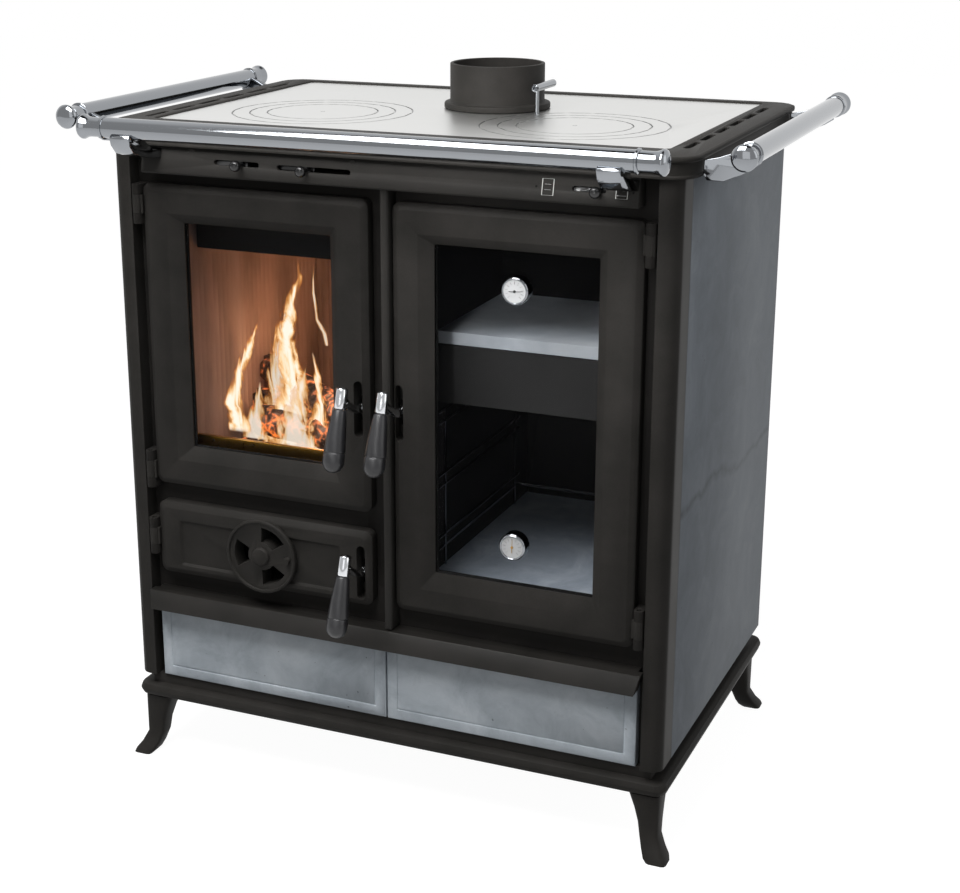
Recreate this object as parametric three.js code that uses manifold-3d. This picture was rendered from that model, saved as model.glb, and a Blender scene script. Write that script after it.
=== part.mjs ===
import * as THREE from 'three';
import { mergeVertices, toCreasedNormals } from 'three/addons/utils/BufferGeometryUtils.js';
import Module from 'manifold-3d';

const wasm = await Module();
wasm.setup();

// ---- sizes that are set by themselves, in millimetres -----------------------------------------
const GAP = 0.3; // clearance between two pieces that rest on or in one another
// hob and its cast rim
const HOB_HEIGHT = 860;
const RIM_HALF = 380;
const RIM_DEPTH = 510;
const RIM_CORNER = 34;
const RIM_APRON = 18; // upright wall under the bead
const RIM_BEAD = 7; // thickness of the rounded top bead
const RIM_BEAD_OUT = 3;
const RIM_WALL = 12;
const RIM_WEB = 10;
const RIM_LIP = 2; // rim top above the hob
const HOB_THICK = 8;
const HOB_HALF = 334.8;
const HOB_DEPTH = 431;
const HOB_REAR = 19.7; // from the back of the hob to the back of the rim
const HOB_CORNER = 6;
const HOB_LEDGE = 12;
const ZONE_X = 172; // cooking zone, from the middle
const ZONE_BACK = 147; // from the front of the hob
const ZONE_RADII = [116.5, 94, 71.5];
const GROOVE = 2;
const GROOVE_DEPTH = 1;
const ZONE_SIDES = 22;
const VENT_X = 351;
const VENT_COUNT = 6;
const VENT_PITCH = 64.6;
const VENT_LONG = 50;
const VENT_WIDE = 8;
const VENT_MID = 256; // from the rim's front to the middle of the row
// flue collar and by-pass lever
const FLUE_X = 21;
const FLUE_BACK = 180; // from the rim's back
const FLUE_R = 61.7;
const FLUE_WALL = 4.5;
const FLUE_HIGH = 58;
const FLANGE_R = 69.3;
const FLANGE_THICK = 8;
const LEVER_X = 91.5;
const LEVER_BACK = 220;
const LEVER_ROD = 2.5;
const LEVER_HIGH = 33; // lever axis above the hob
const LEVER_TUBE = 5;
const LEVER_BORE = 3;
const LEVER_FRONT = 8;
const LEVER_REAR = 57;
const FLAP_LONG = 60;
const FLAP_HIGH = 56;
const FLAP_THICK = 3;
// towel rails
const RAIL_R = 12.5;
const RAIL_OUT = 51; // rail axis in front of the rim
const RAIL_SIDE = 52; // rail axis beside the rim
const RAIL_UP = 4; // rail axis above the hob
const RAIL_FRONT_HALF = 369;
const RAIL_CAP = 15;
const RAIL_RING = 14.2;
const RAIL_NECK = 11.8;
const RAIL_END = 37; // length of ring, neck and flared cap
const BRACKET_FRONT_X = 305;
const BRACKET_FRONT_W = 27;
const BRACKET_SIDE_T = 5;
const BRACKET_SIDE_IN = [44, 458]; // from the rim's front
// body
const DOOR_BACKSET = 8; // door face behind the rim's front
const DOOR_THICK = 18;
const FRAME_THICK = 12;
const DOOR_LAND = 2; // air between door back and frame
const SIDE_HALF = 366;
const SIDE_THICK = 20;
const SIDE_REAR = 19; // from the back of the side stone to the rim's back
const POST_IN = 340;
const POST_DEEP = 46;
const POST_ROUND = 15;
const BODY_FLOOR = 118.7; // top of the plinth
const FRAME_HALF = 339.4;
// base and feet
const BASE_HALF = 372;
const BASE_FRONT = 7; // base front behind the rim's front
const BASE_REAR = 14;
const BASE_BOTTOM = 84;
const BASE_THICK = 20;
const BASE_ROUND = 8;
const PLINTH_HALF = 352;
const PLINTH_FRONT = 19;
const FOOT_TOP = 20; // half size at the base
const FOOT_NECK = 12;
const FOOT_TOE = 15;
const FOOT_OUT = 17; // how far the toe stands out
const FOOT_X = 344;
const FOOT_FRONT = 34;
const FOOT_REAR = 40;
// control panel
const PANEL_HALF = 319;
const PANEL_LOW = 803;
const PANEL_SLOPE = 8; // the foot of the panel stands this far out
const PANEL_WALL = 5;
const SLOT_H = 6.5;
const KNOB_R = 7;
const KNOB_OUT = 15; // ball centre in front of the panel face
const STEM_R = 2.6;
const SLIDE_T = 3;
const SLIDE_H = 20;
const SLIDES = [
  { name: 'air_slider_primary', from: -217, to: -155, knob: -179, z: 821, tail: 48, layer: 0 },
  { name: 'air_slider_secondary', from: -131, to: -33, knob: -91, z: 820, tail: 50, layer: 1 },
  { name: 'oven_selector', from: 241, to: 281, knob: 273, z: 820, tail: 44, layer: 0 },
];
const MULLION = [4, 14];
const MULLION_OUT = 4; // in front of the door face
// trim strip and stone panels
const STRIP_LOW = 222;
const STRIP_TOP = 246;
const STRIP_HALF_TOP = 339;
const STRIP_HALF_LOW = 333;
const STRIP_OUT_TOP = 7;
const STRIP_OUT_LOW = 15;
const STONE_HALF = 332;
const STONE_LOW = 119;
const STONE_TOP = 232;
const STONE_THICK = 12.7;
const STONE_SPLIT = 1;
const STONE_INSET = 14;
// doors: outline, glass opening and its bevelled surround
const FIRE_DOOR = { x0: -325, x1: -16, z0: 396.5, z1: 788.4 };
const FIRE_SIGHT = { x0: -271, x1: -68, z0: 449, z1: 740.5 };
const FIRE_FLARE = { x0: -290, x1: -56, z0: 431.5, z1: 753 };
const OVEN_DOOR = { x0: 16.5, x1: 325, z0: 275, z1: 788.4 };
const OVEN_SIGHT = { x0: 68, x1: 272, z0: 329, z1: 741 };
const OVEN_FLARE = { x0: 50.5, x1: 283.5, z0: 307.5, z1: 753 };
const ASH_DOOR = { x0: -325, x1: -16, z0: 272, z1: 371 };
const ASH_PANEL = { x0: -293, x1: -59, z0: 285, z1: 348 };
const DOOR_CORNER = 10;
const DOOR_BEVEL = 8;
const DOOR_BEVEL_DEEP = 5;
const FLARE_DEEP = 9;
const GLASS_THICK = 4;
const GLASS_LAP = 10;
const CLIP_THICK = 3;
const HINGE_X = 332.5;
const HINGE_IN = 2; // axis behind the door face
const KNUCKLE_R = 6.2;
const PIN_R = 3;
const LUG_H = 13;
const KNUCKLE_H = 23;
// latches
const LATCH_SLOT_W = 12;
const LATCH_SLOT_H = 72;
const LATCH_PLATE = 6;
const LATCH_PIN = 3;
const LATCH_PIN_HALF = 10;
const LATCH_IN = 9; // pivot behind the door face
const LATCH_REACH = 43; // ferrule top in front of the door face
const LATCH_RISE = 35; // ferrule top above the pivot
const LATCH_LEAN = 18; // degrees
const LATCH_NOSE = 20; // length of the tail behind the pivot
const FERRULE_R = 7.5;
const FERRULE_LONG = 22;
const GRIP_R = 13.3;
const GRIP_LONG = 76;
const LATCHES = [
  { door: 'fire', x: -30, z: 530 },
  { door: 'oven', x: 24, z: 531 },
  { door: 'ash', x: -30, z: 316 },
];
// spinning air register
const WHEEL_X = -169;
const WHEEL_Z = 319;
const WHEEL_R = 50;
const WHEEL_RIM = 4.5;
const WHEEL_PLATE = 3.5;
const WHEEL_HUB = 12;
const WHEEL_WINDOW = [19, 39];
const WHEEL_ARC = 56; // degrees
const WHEEL_PIN = 4;
// thermometers
const DIAL_X = 171;
const DIAL_Z = [695, 380];
const DIAL_R = 17;
const DIAL_OUT = 9;
const DIAL_STEM = 5;
const DIAL_TAIL = 8; // stem behind the front of the pane
// inside
const SHELL = { x0: -318, x1: -28, deep: 400, wall: 5 };
const ASH_FLOOR = 279;
const FIRE_FLOOR = 405;
const LINING = 24.4;
const LINING_TOP = 740;
const RIB_PITCH = 11.6;
const RIB_DEEP = 5;
const GRATE = { x0: -258, x1: -92, y0: 64, y1: 290, thick: 12, bars: 9 };
const BAFFLE = { front: 32, deep: 270, thick: 6, lip: 42 };
const GUARD = { z0: 420, z1: 457, thick: 6 };
const DRAWER = { x0: -295, x1: -50, deep: 340, high: 73, wall: 3 };
const OVEN = { x0: 38, x1: 302, z0: 287, z1: 770, wall: 4, deep: 372, upperDeep: 272 };
const DUCT = { front: 50, low: 526, high: 601, wall: 3 };
const SHELF_STONE = 16;
const FLOOR_STONE = 14.7;
const WIRE_R = 2;
const RACK_LEVELS = [336.5, 419.5, 503.5];
const RACK_PAIR = 7.5;
const RACK_FRONT = 47;
const RACK_REAR = 330;
const BACK_THICK = 3;
const BACK_IN = 4; // from the rear of the side stones

// ---- derived places ---------------------------------------------------------------------------
const rad = THREE.MathUtils.degToRad;
const yRimBack = RIM_DEPTH;
const yRim = 0;
const yRail = yRim - RAIL_OUT;
const yDoor = yRim + DOOR_BACKSET;
const yDoorBack = yDoor + DOOR_THICK;
const yFrame = yDoorBack + DOOR_LAND;
const yInside = yFrame + FRAME_THICK;
const yPost = yDoor + POST_DEEP;
const ySideBack = yRimBack - SIDE_REAR;
const zRimTop = HOB_HEIGHT + RIM_LIP;
const zBead = zRimTop - RIM_BEAD;
const zApron = zBead - RIM_APRON;
const zHobUnder = HOB_HEIGHT - HOB_THICK;
const zBodyTop = zApron - GAP;
const yHobBack = yRimBack - HOB_REAR;
const yHob = yHobBack - HOB_DEPTH;
const railX = RIM_HALF + RAIL_SIDE;
const zRail = HOB_HEIGHT + RAIL_UP;
const flueY = yRimBack - FLUE_BACK;
const leverY = yRimBack - LEVER_BACK;
const hingeY = yDoor + HINGE_IN;
const zBaseTop = BASE_BOTTOM + BASE_THICK;

// ---- solids -----------------------------------------------------------------------------------
// a closed solid from a geometry: shared corners merged, slivers dropped, faces turned outwards
function solidOf(geometry) {
  const bare = geometry.clone();
  bare.deleteAttribute('normal');
  bare.deleteAttribute('uv');
  const merged = mergeVertices(bare);
  const at = merged.attributes.position.array;
  const index = merged.index.array;
  const tris = [];
  let volume = 0;
  for (let i = 0; i < index.length; i += 3) {
    const [a, b, c] = [index[i], index[i + 1], index[i + 2]];
    if (a !== b && b !== c && c !== a) {
      const [p, q, r] = [a, b, c].map((k) => new THREE.Vector3().fromArray(at, k * 3));
      volume += p.dot(q.cross(r));
      tris.push([a, b, c]);
    }
  }
  const triVerts = tris.flatMap(([a, b, c]) => (volume < 0 ? [a, c, b] : [a, b, c]));
  return new wasm.Manifold(new wasm.Mesh({
    numProp: 3,
    vertProperties: Float32Array.from(at),
    triVerts: Uint32Array.from(triVerts),
  }));
}

// an outline is drawn in two of the three directions and runs along the third
const place = {
  x: (u, v, at) => [at, u, v],
  y: (u, v, at) => [u, at, v],
  z: (u, v, at) => [u, v, at],
};

function onAxis(axis, u, v, at, shift = [0, 0, 0]) {
  const [x, y, z] = [place[axis](...u), place[axis](...v), place[axis](...at)].map((d) => new THREE.Vector3(...d));
  return new THREE.Matrix4().makeBasis(x, y, z).setPosition(...place[axis](...shift));
}

function prism(axis, outline, from, to) {
  const shape = new THREE.Shape(outline.map(([u, v]) => new THREE.Vector2(u, v)));
  const geometry = new THREE.ExtrudeGeometry(shape, { depth: to - from, bevelEnabled: false });
  return solidOf(geometry.applyMatrix4(onAxis(axis, [1, 0, 0], [0, 1, 0], [0, 0, 1], [0, 0, from])));
}

const box = (x0, x1, y0, y1, z0, z1) => solidOf(new THREE.BoxGeometry(x1 - x0, y1 - y0, z1 - z0)
  .translate((x0 + x1) / 2, (y0 + y1) / 2, (z0 + z1) / 2));

// a body turned round an axis: profile of [radius, along] whose ends lie on the axis
function latheOf(axis, cu, cv, profile, sides = 24) {
  const points = profile.map(([r, along]) => new THREE.Vector2(r, along));
  return new THREE.LatheGeometry(points, sides)
    .applyMatrix4(onAxis(axis, [0, 1, 0], [0, 0, 1], [1, 0, 0], [cu, cv, 0]));
}

const turned = (...args) => solidOf(latheOf(...args));

const rod = (axis, cu, cv, r, from, to, sides = 16) => solidOf(
  new THREE.CylinderGeometry(r, r, to - from, sides).translate(0, (from + to) / 2, 0)
    .applyMatrix4(onAxis(axis, [0, 1, 0], [0, 0, 1], [1, 0, 0], [cu, cv, 0])),
);

// outlines of equal point count joined one to the next along an axis: levels are [at, outline]
function stack(axis, levels) {
  const n = levels[0][1].length;
  const top = (levels.length - 1) * n;
  const index = [];
  for (let k = 0; k + 1 < levels.length; k += 1) {
    for (let i = 0; i < n; i += 1) {
      const j = (i + 1) % n;
      index.push(k * n + i, k * n + j, (k + 1) * n + j, k * n + i, (k + 1) * n + j, (k + 1) * n + i);
    }
  }
  const cap = (outline) => THREE.ShapeUtils.triangulateShape(outline.map((p) => new THREE.Vector2(...p)), []);
  const turn = THREE.ShapeUtils.area(levels[0][1].map((p) => new THREE.Vector2(...p))) < 0;
  for (const [a, b, c] of cap(levels[0][1])) {
    index.push(...(turn ? [a, b, c] : [a, c, b]));
  }
  for (const [a, b, c] of cap(levels[levels.length - 1][1])) {
    index.push(...(turn ? [a, c, b] : [a, b, c]).map((i) => top + i));
  }
  const geometry = new THREE.BufferGeometry();
  const points = levels.flatMap(([at, outline]) => outline.flatMap(([u, v]) => place[axis](u, v, at)));
  geometry.setAttribute('position', new THREE.Float32BufferAttribute(points, 3));
  return solidOf(geometry.setIndex(index));
}

// corners in turning order, each rounded with radius r
function roundRect(u0, u1, v0, v1, r, steps = 4) {
  if (r <= 0) {
    return [[u0, v0], [u1, v0], [u1, v1], [u0, v1]];
  }
  const corners = [[u1 - r, v0 + r, -90], [u1 - r, v1 - r, 0], [u0 + r, v1 - r, 90], [u0 + r, v0 + r, 180]];
  return corners.flatMap(([cu, cv, start]) => arc(cu, cv, r, start, start + 90, steps));
}

const rectOf = (s, grow = 0, r = 0, steps = 4) =>
  roundRect(s.x0 - grow, s.x1 + grow, s.z0 - grow, s.z1 + grow, r, steps);

const join = (...solids) => solids.reduce((a, b) => a.add(b));
const cut = (solid, ...tools) => tools.reduce((a, b) => a.subtract(b), solid);

// arc from one bearing to another, both ends included
function arc(cu, cv, r, from, to, steps) {
  return Array.from({ length: steps + 1 }, (_, i) => {
    const a = rad(from + ((to - from) * i) / steps);
    return [cu + r * Math.cos(a), cv + r * Math.sin(a)];
  });
}

// ---- materials --------------------------------------------------------------------------------
const material = (color, roughness, metalness, extra = {}) =>
  new THREE.MeshStandardMaterial({ color, roughness, metalness, ...extra });
const castBlack = material(0x3a3835, 0.62, 0.35);
const castGrey = material(0x5b5855, 0.6, 0.35);
const steelTop = material(0xd2d3d2, 0.38, 0.9);
const chrome = material(0xdfe2e4, 0.08, 1);
const stone = material(0x8e949c, 0.75, 0);
const darkSteel = material(0x2a2a2b, 0.6, 0.6);
const clay = material(0x9a7c5e, 0.9, 0);
const glass = material(0x39424a, 0.05, 0, { transparent: true, opacity: 0.3 });
const gripBlack = material(0x232326, 0.45, 0);
const wireSteel = material(0xb9bcbf, 0.3, 1);
const brass = material(0xb08a45, 0.4, 0.9);

const pieces = [];
const piece = (name, solid, look, body = 'stove') => pieces.push({ name, solid, look, body });

// ---- base and feet ----------------------------------------------------------------------------
const baseFront = yRim + BASE_FRONT;
const baseBack = yRimBack - BASE_REAR;
const bullnose = Array.from({ length: 5 }, (_, i) => {
  const a = rad(-90 + 45 * i);
  return [Math.cos(a), Math.sin(a)];
});
const ledge = stack('z', bullnose.map(([c, s]) => {
  const back = BASE_ROUND * (1 - c);
  const outline = roundRect(back - BASE_HALF, BASE_HALF - back, baseFront + back, baseBack - back, 14);
  return [BASE_BOTTOM + (BASE_THICK * (1 + s)) / 2, outline];
}));
const plinthBox = box(-PLINTH_HALF, PLINTH_HALF, yRim + PLINTH_FRONT, ySideBack, zBaseTop - 2, BODY_FLOOR);
const plinthHollow = box(24 - PLINTH_HALF, PLINTH_HALF - 24, yRim + PLINTH_FRONT + 24, ySideBack - 24,
  BASE_BOTTOM - 1, BODY_FLOOR - 8);
piece('base_plinth', cut(join(ledge, plinthBox), plinthHollow), castBlack);

// a foot thins to a neck and turns outwards to its toe
function foot(x, y, outX, outY) {
  const levels = [0, 0.06, 0.16, 0.34, 0.55, 0.78, 1].map((t) => {
    const swell = t > 0.34 ? (t - 0.34) / 0.66 : 0;
    const curl = t < 0.34 ? (0.34 - t) / 0.34 : 0;
    const half = FOOT_NECK + (FOOT_TOP - FOOT_NECK) * swell ** 1.6 + (FOOT_TOE - FOOT_NECK) * curl ** 1.5;
    const out = FOOT_OUT * curl ** 1.4 + (FOOT_TOP - half) * 0.9;
    const cx = x + outX * out;
    const cy = y + outY * out;
    const ease = t === 0 ? 2 : 0;
    return [t * (BASE_BOTTOM - GAP), roundRect(cx - half + ease, cx + half - ease, cy - half + ease,
      cy + half - ease, half * 0.35, 2)];
  });
  return stack('z', levels);
}
for (const [side, sx] of [['left', -1], ['right', 1]]) {
  piece(`foot_front_${side}`, foot(sx * FOOT_X, baseFront + FOOT_FRONT - 8, sx, -1), castBlack);
  piece(`foot_rear_${side}`, foot(sx * FOOT_X, baseBack - FOOT_REAR, sx, 1), castBlack);
}

// ---- corner posts, side and front stones, back sheet ------------------------------------------
for (const [side, sx] of [['left', -1], ['right', 1]]) {
  const round = arc(SIDE_HALF - POST_ROUND, yDoor + POST_ROUND, POST_ROUND, -90, 0, 5);
  const outline = [[POST_IN, yDoor], ...round, [SIDE_HALF, yPost], [POST_IN, yPost]];
  const mirrored = outline.map(([u, v]) => [sx * u, v]);
  piece(`post_${side}`, prism('z', mirrored, BODY_FLOOR + GAP, zBodyTop), castBlack);
  const near = SIDE_HALF - SIDE_THICK;
  const edge = [[near, yPost + GAP], [SIDE_HALF - 1, yPost + GAP], [SIDE_HALF, yPost + GAP + 1],
    [SIDE_HALF, ySideBack - 1], [SIDE_HALF - 1, ySideBack], [near, ySideBack]];
  const slabOutline = edge.map(([u, v]) => [sx * u, v]);
  piece(`side_stone_${side}`, prism('z', slabOutline, BODY_FLOOR + GAP, zBodyTop), stone);
}
const stoneBack = yFrame - GAP;
const stoneFace = stoneBack - STONE_THICK;
const lineLow = STONE_LOW + STONE_INSET;
const lineHigh = STRIP_LOW - 6;
for (const [side, sx] of [['left', -1], ['right', 1]]) {
  const [a, b] = [STONE_SPLIT, STONE_HALF].map((v) => v * sx).sort((p, q) => p - q);
  const slab = stack('y', [
    [stoneFace, roundRect(a + 1, b - 1, STONE_LOW + 1, STONE_TOP - 1, 0)],
    [stoneFace + 1, roundRect(a, b, STONE_LOW, STONE_TOP, 0)],
    [stoneBack, roundRect(a, b, STONE_LOW, STONE_TOP, 0)],
  ]);
  const line = cut(
    box(a + STONE_INSET, b - STONE_INSET, stoneFace - 1, stoneFace + 1, lineLow, lineHigh),
    box(a + STONE_INSET + 2, b - STONE_INSET - 2, stoneFace - 2, stoneFace + 2, lineLow + 2, lineHigh - 2),
  );
  piece(`front_stone_${side}`, cut(slab, line), stone);
}
const backY = ySideBack - BACK_IN - BACK_THICK;
const backHalf = SIDE_HALF - SIDE_THICK - GAP;
const backVents = [];
for (const z of [200, 225, 700, 725, 750]) {
  for (const x of [-210, -70, 70, 210]) {
    backVents.push(box(x - 42, x + 42, backY - 1, backY + BACK_THICK + 1, z - 4, z + 4));
  }
}
piece('back_panel', cut(box(-backHalf, backHalf, backY, backY + BACK_THICK, BODY_FLOOR + GAP, zBodyTop),
  ...backVents), darkSteel);

// ---- cast front frame with openings, hinge lugs and catch slots -------------------------------
const hingeSets = [
  { door: 'fire', side: -1, lows: [FIRE_DOOR.z0 + 6, FIRE_DOOR.z1 - KNUCKLE_H - LUG_H - 2] },
  { door: 'oven', side: 1, lows: [OVEN_DOOR.z0 + LUG_H + 2, OVEN_DOOR.z1 - KNUCKLE_H - LUG_H - 2] },
  { door: 'ash', side: -1, lows: [ASH_DOOR.z0 + 38] },
];
const lugs = [];
const lugBores = [];
for (const { side, lows } of hingeSets) {
  for (const low of lows) {
    for (const z of [low - GAP - LUG_H, low + KNUCKLE_H + GAP]) {
      const x = side * HINGE_X;
      lugs.push(rod('z', x, hingeY, KNUCKLE_R, z, z + LUG_H, 12));
      lugs.push(box(x - KNUCKLE_R, x + KNUCKLE_R, hingeY, yFrame + 1, z, z + LUG_H));
      lugBores.push(rod('z', x, hingeY, PIN_R + GAP, z - 1, z + LUG_H + 1, 8));
    }
  }
}
const frameCuts = [
  box(-300, -45, yFrame - 1, yInside + 1, 425, 765),
  box(-300, -45, yFrame - 1, yInside + 1, ASH_FLOOR, 362),
  box(OVEN.x0, OVEN.x1, yFrame - 1, yInside + 1, OVEN.z0, OVEN.z1),
];
for (const { x, z } of LATCHES) {
  const half = LATCH_PLATE / 2 + 3;
  frameCuts.push(box(x - half, x + half, yFrame - 1, yInside + 1, z - 20, z + 12));
}
for (const s of SLIDES) {
  frameCuts.push(box(s.from, s.to, yFrame - 1, yInside + 1, s.z - 5, s.z + 5));
}
const framePlate = box(-FRAME_HALF, FRAME_HALF, yFrame, yInside, BODY_FLOOR + GAP, zBodyTop);
piece('front_frame', cut(join(framePlate, ...lugs), ...frameCuts, ...lugBores), castBlack);

// ---- control panel and mullion ----------------------------------------------------------------
const panelTop = zBodyTop;
const panelFace = (z) => yDoor - PANEL_SLOPE * ((panelTop - z) / (panelTop - PANEL_LOW));
const panelBack = yFrame - GAP;
const skin = PANEL_WALL;
const panelSection = [
  [panelFace(PANEL_LOW) + 2, PANEL_LOW], [panelBack, PANEL_LOW], [panelBack, panelTop],
  [panelFace(panelTop), panelTop], [panelFace(PANEL_LOW + 2), PANEL_LOW + 2],
];
const panelHollow = [
  [panelFace(PANEL_LOW + skin) + skin, PANEL_LOW + skin], [panelBack + 1, PANEL_LOW + skin],
  [panelBack + 1, panelTop - skin], [panelFace(panelTop - skin) + skin, panelTop - skin],
];
const panelSlots = SLIDES.map((s) => prism('y',
  roundRect(s.from, s.to, s.z - SLOT_H / 2, s.z + SLOT_H / 2, SLOT_H / 2 - 0.01, 3), yDoor - 20, panelBack));
const mullion = prism('z', [[MULLION[0], panelBack], [MULLION[0], yDoor - MULLION_OUT + 1.5],
  [MULLION[0] + 1.5, yDoor - MULLION_OUT], [MULLION[1] - 1.5, yDoor - MULLION_OUT],
  [MULLION[1], yDoor - MULLION_OUT + 1.5], [MULLION[1], panelBack]], STRIP_TOP + 2, PANEL_LOW + 1);
piece('control_panel', cut(join(prism('x', panelSection, -PANEL_HALF, PANEL_HALF), mullion),
  prism('x', panelHollow, skin - PANEL_HALF, PANEL_HALF - skin), ...panelSlots), castGrey);

// sliding knobs: a plate behind the panel wall, a stem through the slot and a ball
for (const s of SLIDES) {
  const step = s.layer * (SLIDE_T + GAP);
  const low = s.z - SLIDE_H / 2;
  const high = Math.min(s.z + SLIDE_H / 2, panelTop - skin - GAP);
  const face = (z) => panelFace(z) + skin * 1.02 + GAP + step;
  const plate = prism('x', [[face(low), low], [face(low) + SLIDE_T, low], [face(high) + SLIDE_T, high],
    [face(high), high]], s.knob + 6 - s.tail, s.knob + 6);
  const ballY = panelFace(s.z) - KNOB_OUT;
  const ball = Array.from({ length: 7 }, (_, i) => {
    const a = rad(-90 + 30 * i);
    return [i === 0 || i === 6 ? 0 : KNOB_R * Math.cos(a), ballY + KNOB_R * Math.sin(a)];
  });
  piece(s.name, join(plate, rod('y', s.knob, s.z, STEM_R, ballY, face(s.z) + 1, 10),
    turned('y', s.knob, s.z, ball, 16)), chrome, `${s.name}_part`);
}

// ---- trim strip -------------------------------------------------------------------------------
const stripBack = stoneFace - GAP;
const stripBody = stack('z', [
  [STRIP_LOW, roundRect(-STRIP_HALF_LOW, STRIP_HALF_LOW, yDoor - STRIP_OUT_LOW, stripBack, 0)],
  [STRIP_TOP, roundRect(-STRIP_HALF_TOP, STRIP_HALF_TOP, yDoor - STRIP_OUT_TOP, stripBack, 0)],
]);
const stripFoot = box(-STRIP_HALF_LOW, STRIP_HALF_LOW, stripBack - 1, yFrame - GAP,
  STONE_TOP + GAP, STRIP_TOP);
piece('trim_strip', join(stripBody, stripFoot), castGrey);

// ---- doors ------------------------------------------------------------------------------------
// rounded plate with a bevelled front edge
function doorPlate(s) {
  const ring = (inset) => rectOf(s, -inset, DOOR_CORNER - inset * 0.5, 4);
  return stack('y', [[yDoor, ring(DOOR_BEVEL)], [yDoor + DOOR_BEVEL_DEEP, ring(0)], [yDoorBack, ring(0)]]);
}

function knuckles(door) {
  const { side, lows } = hingeSets.find((h) => h.door === door);
  const x = side * HINGE_X;
  return lows.flatMap((low) => [
    rod('z', x, hingeY, KNUCKLE_R, low, low + KNUCKLE_H, 12),
    box(Math.min(x, side * 324), Math.max(x, side * 324), hingeY - 2, hingeY + KNUCKLE_R,
      low, low + KNUCKLE_H),
    rod('z', x, hingeY, PIN_R, low - GAP - LUG_H + 2, low + KNUCKLE_H + GAP + LUG_H - 2, 8),
  ]);
}

function latchCuts(door) {
  const { x, z } = LATCHES.find((l) => l.door === door);
  return [
    prism('y', roundRect(x - LATCH_SLOT_W / 2, x + LATCH_SLOT_W / 2,
      z - LATCH_SLOT_H / 2, z + LATCH_SLOT_H / 2, LATCH_SLOT_W / 2 - 0.01, 3), yDoor - 1, yDoorBack + 1),
    rod('x', yDoor + LATCH_IN, z, LATCH_PIN + GAP, x - LATCH_PIN_HALF - GAP, x + LATCH_PIN_HALF + GAP, 10),
  ];
}

// opening with bevelled surround, pane in a rebate and a clip frame behind it
function glazed(name, s, flare, sight, holes) {
  const pocket = rectOf(sight, GLASS_LAP, 0);
  const paneY = yDoor + FLARE_DEEP + 2 + GAP;
  const clipY = paneY + GLASS_THICK + GAP;
  const body = cut(join(doorPlate(s), ...knuckles(name)),
    stack('y', [[yDoor - 1, rectOf(flare, 1, 3, 2)], [yDoor, rectOf(flare, 0, 2, 2)],
      [yDoor + FLARE_DEEP, rectOf(sight, 0, 2, 2)], [yDoorBack + 1, rectOf(sight, 0, 2, 2)]]),
    prism('y', pocket, paneY - GAP, yDoorBack + 1), ...latchCuts(name));
  piece(`${name}_door`, body, castBlack, `${name}_leaf`);
  const pane = prism('y', rectOf(sight, GLASS_LAP - GAP, 0), paneY, paneY + GLASS_THICK);
  piece(`${name}_glass`, cut(pane, ...holes.map((z) => rod('y', DIAL_X, z, DIAL_STEM + GAP, paneY - 1,
    paneY + GLASS_THICK + 1, 16))), glass, `${name}_leaf`);
  piece(`${name}_glass_clip`, prismRing(rectOf(sight, GLASS_LAP - GAP, 0), rectOf(sight, -1, 0), clipY,
    clipY + CLIP_THICK), darkSteel, `${name}_leaf`);
  return paneY;
}

function prismRing(outer, inner, from, to) {
  return cut(prism('y', outer, from, to), prism('y', inner, from - 1, to + 1));
}

glazed('fire', FIRE_DOOR, FIRE_FLARE, FIRE_SIGHT, []);
const ovenPane = glazed('oven', OVEN_DOOR, OVEN_FLARE, OVEN_SIGHT, DIAL_Z);

// thermometers: a bezelled case in front of the pane and a stem through it
for (const [i, z] of DIAL_Z.entries()) {
  const front = ovenPane - GAP - DIAL_OUT;
  const profile = [[0, front + 1.5], [DIAL_R - 2, front + 1.5], [DIAL_R - 1.6, front], [DIAL_R - 0.5, front],
    [DIAL_R, front + 1], [DIAL_R, front + 5], [DIAL_R - 5, ovenPane - GAP], [DIAL_STEM, ovenPane - GAP],
    [DIAL_STEM, ovenPane + DIAL_TAIL], [0, ovenPane + DIAL_TAIL]];
  piece(`thermometer_${i === 0 ? 'upper' : 'lower'}`, turned('y', DIAL_X, z, profile, 18), chrome,
    'oven_leaf');
}

// ash door with its boss and air windows
const fan = (from, grow = 0) => {
  const half = WHEEL_ARC / 2 + grow;
  return [...arc(WHEEL_X, WHEEL_Z, WHEEL_WINDOW[1] + grow / 2, from - half, from + half, 5),
    ...arc(WHEEL_X, WHEEL_Z, WHEEL_WINDOW[0] - grow / 2, from + half, from - half, 3)];
};
const fans = (y0, y1) => [60, 180, 300].map((a) => prism('y', fan(a), y0, y1));
const ashRecess = stack('y', [[yDoor - 1, rectOf(ASH_PANEL, 1, 5, 2)], [yDoor, rectOf(ASH_PANEL, 0, 4, 2)],
  [yDoor + 3, rectOf(ASH_PANEL, -3, 2, 2)]]);
const boss = rod('y', WHEEL_X, WHEEL_Z, WHEEL_R - 4, yDoor - 2, yDoor + 8, 24);
const ashBody = join(cut(doorPlate(ASH_DOOR), ashRecess), boss, ...knuckles('ash'));
piece('ash_door', cut(ashBody, ...latchCuts('ash'), ...fans(yDoor - 3, yDoorBack + 1),
  rod('y', WHEEL_X, WHEEL_Z, WHEEL_PIN + GAP, yDoor - 3, yDoor + 14, 16)), castBlack, 'ash_leaf');

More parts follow.
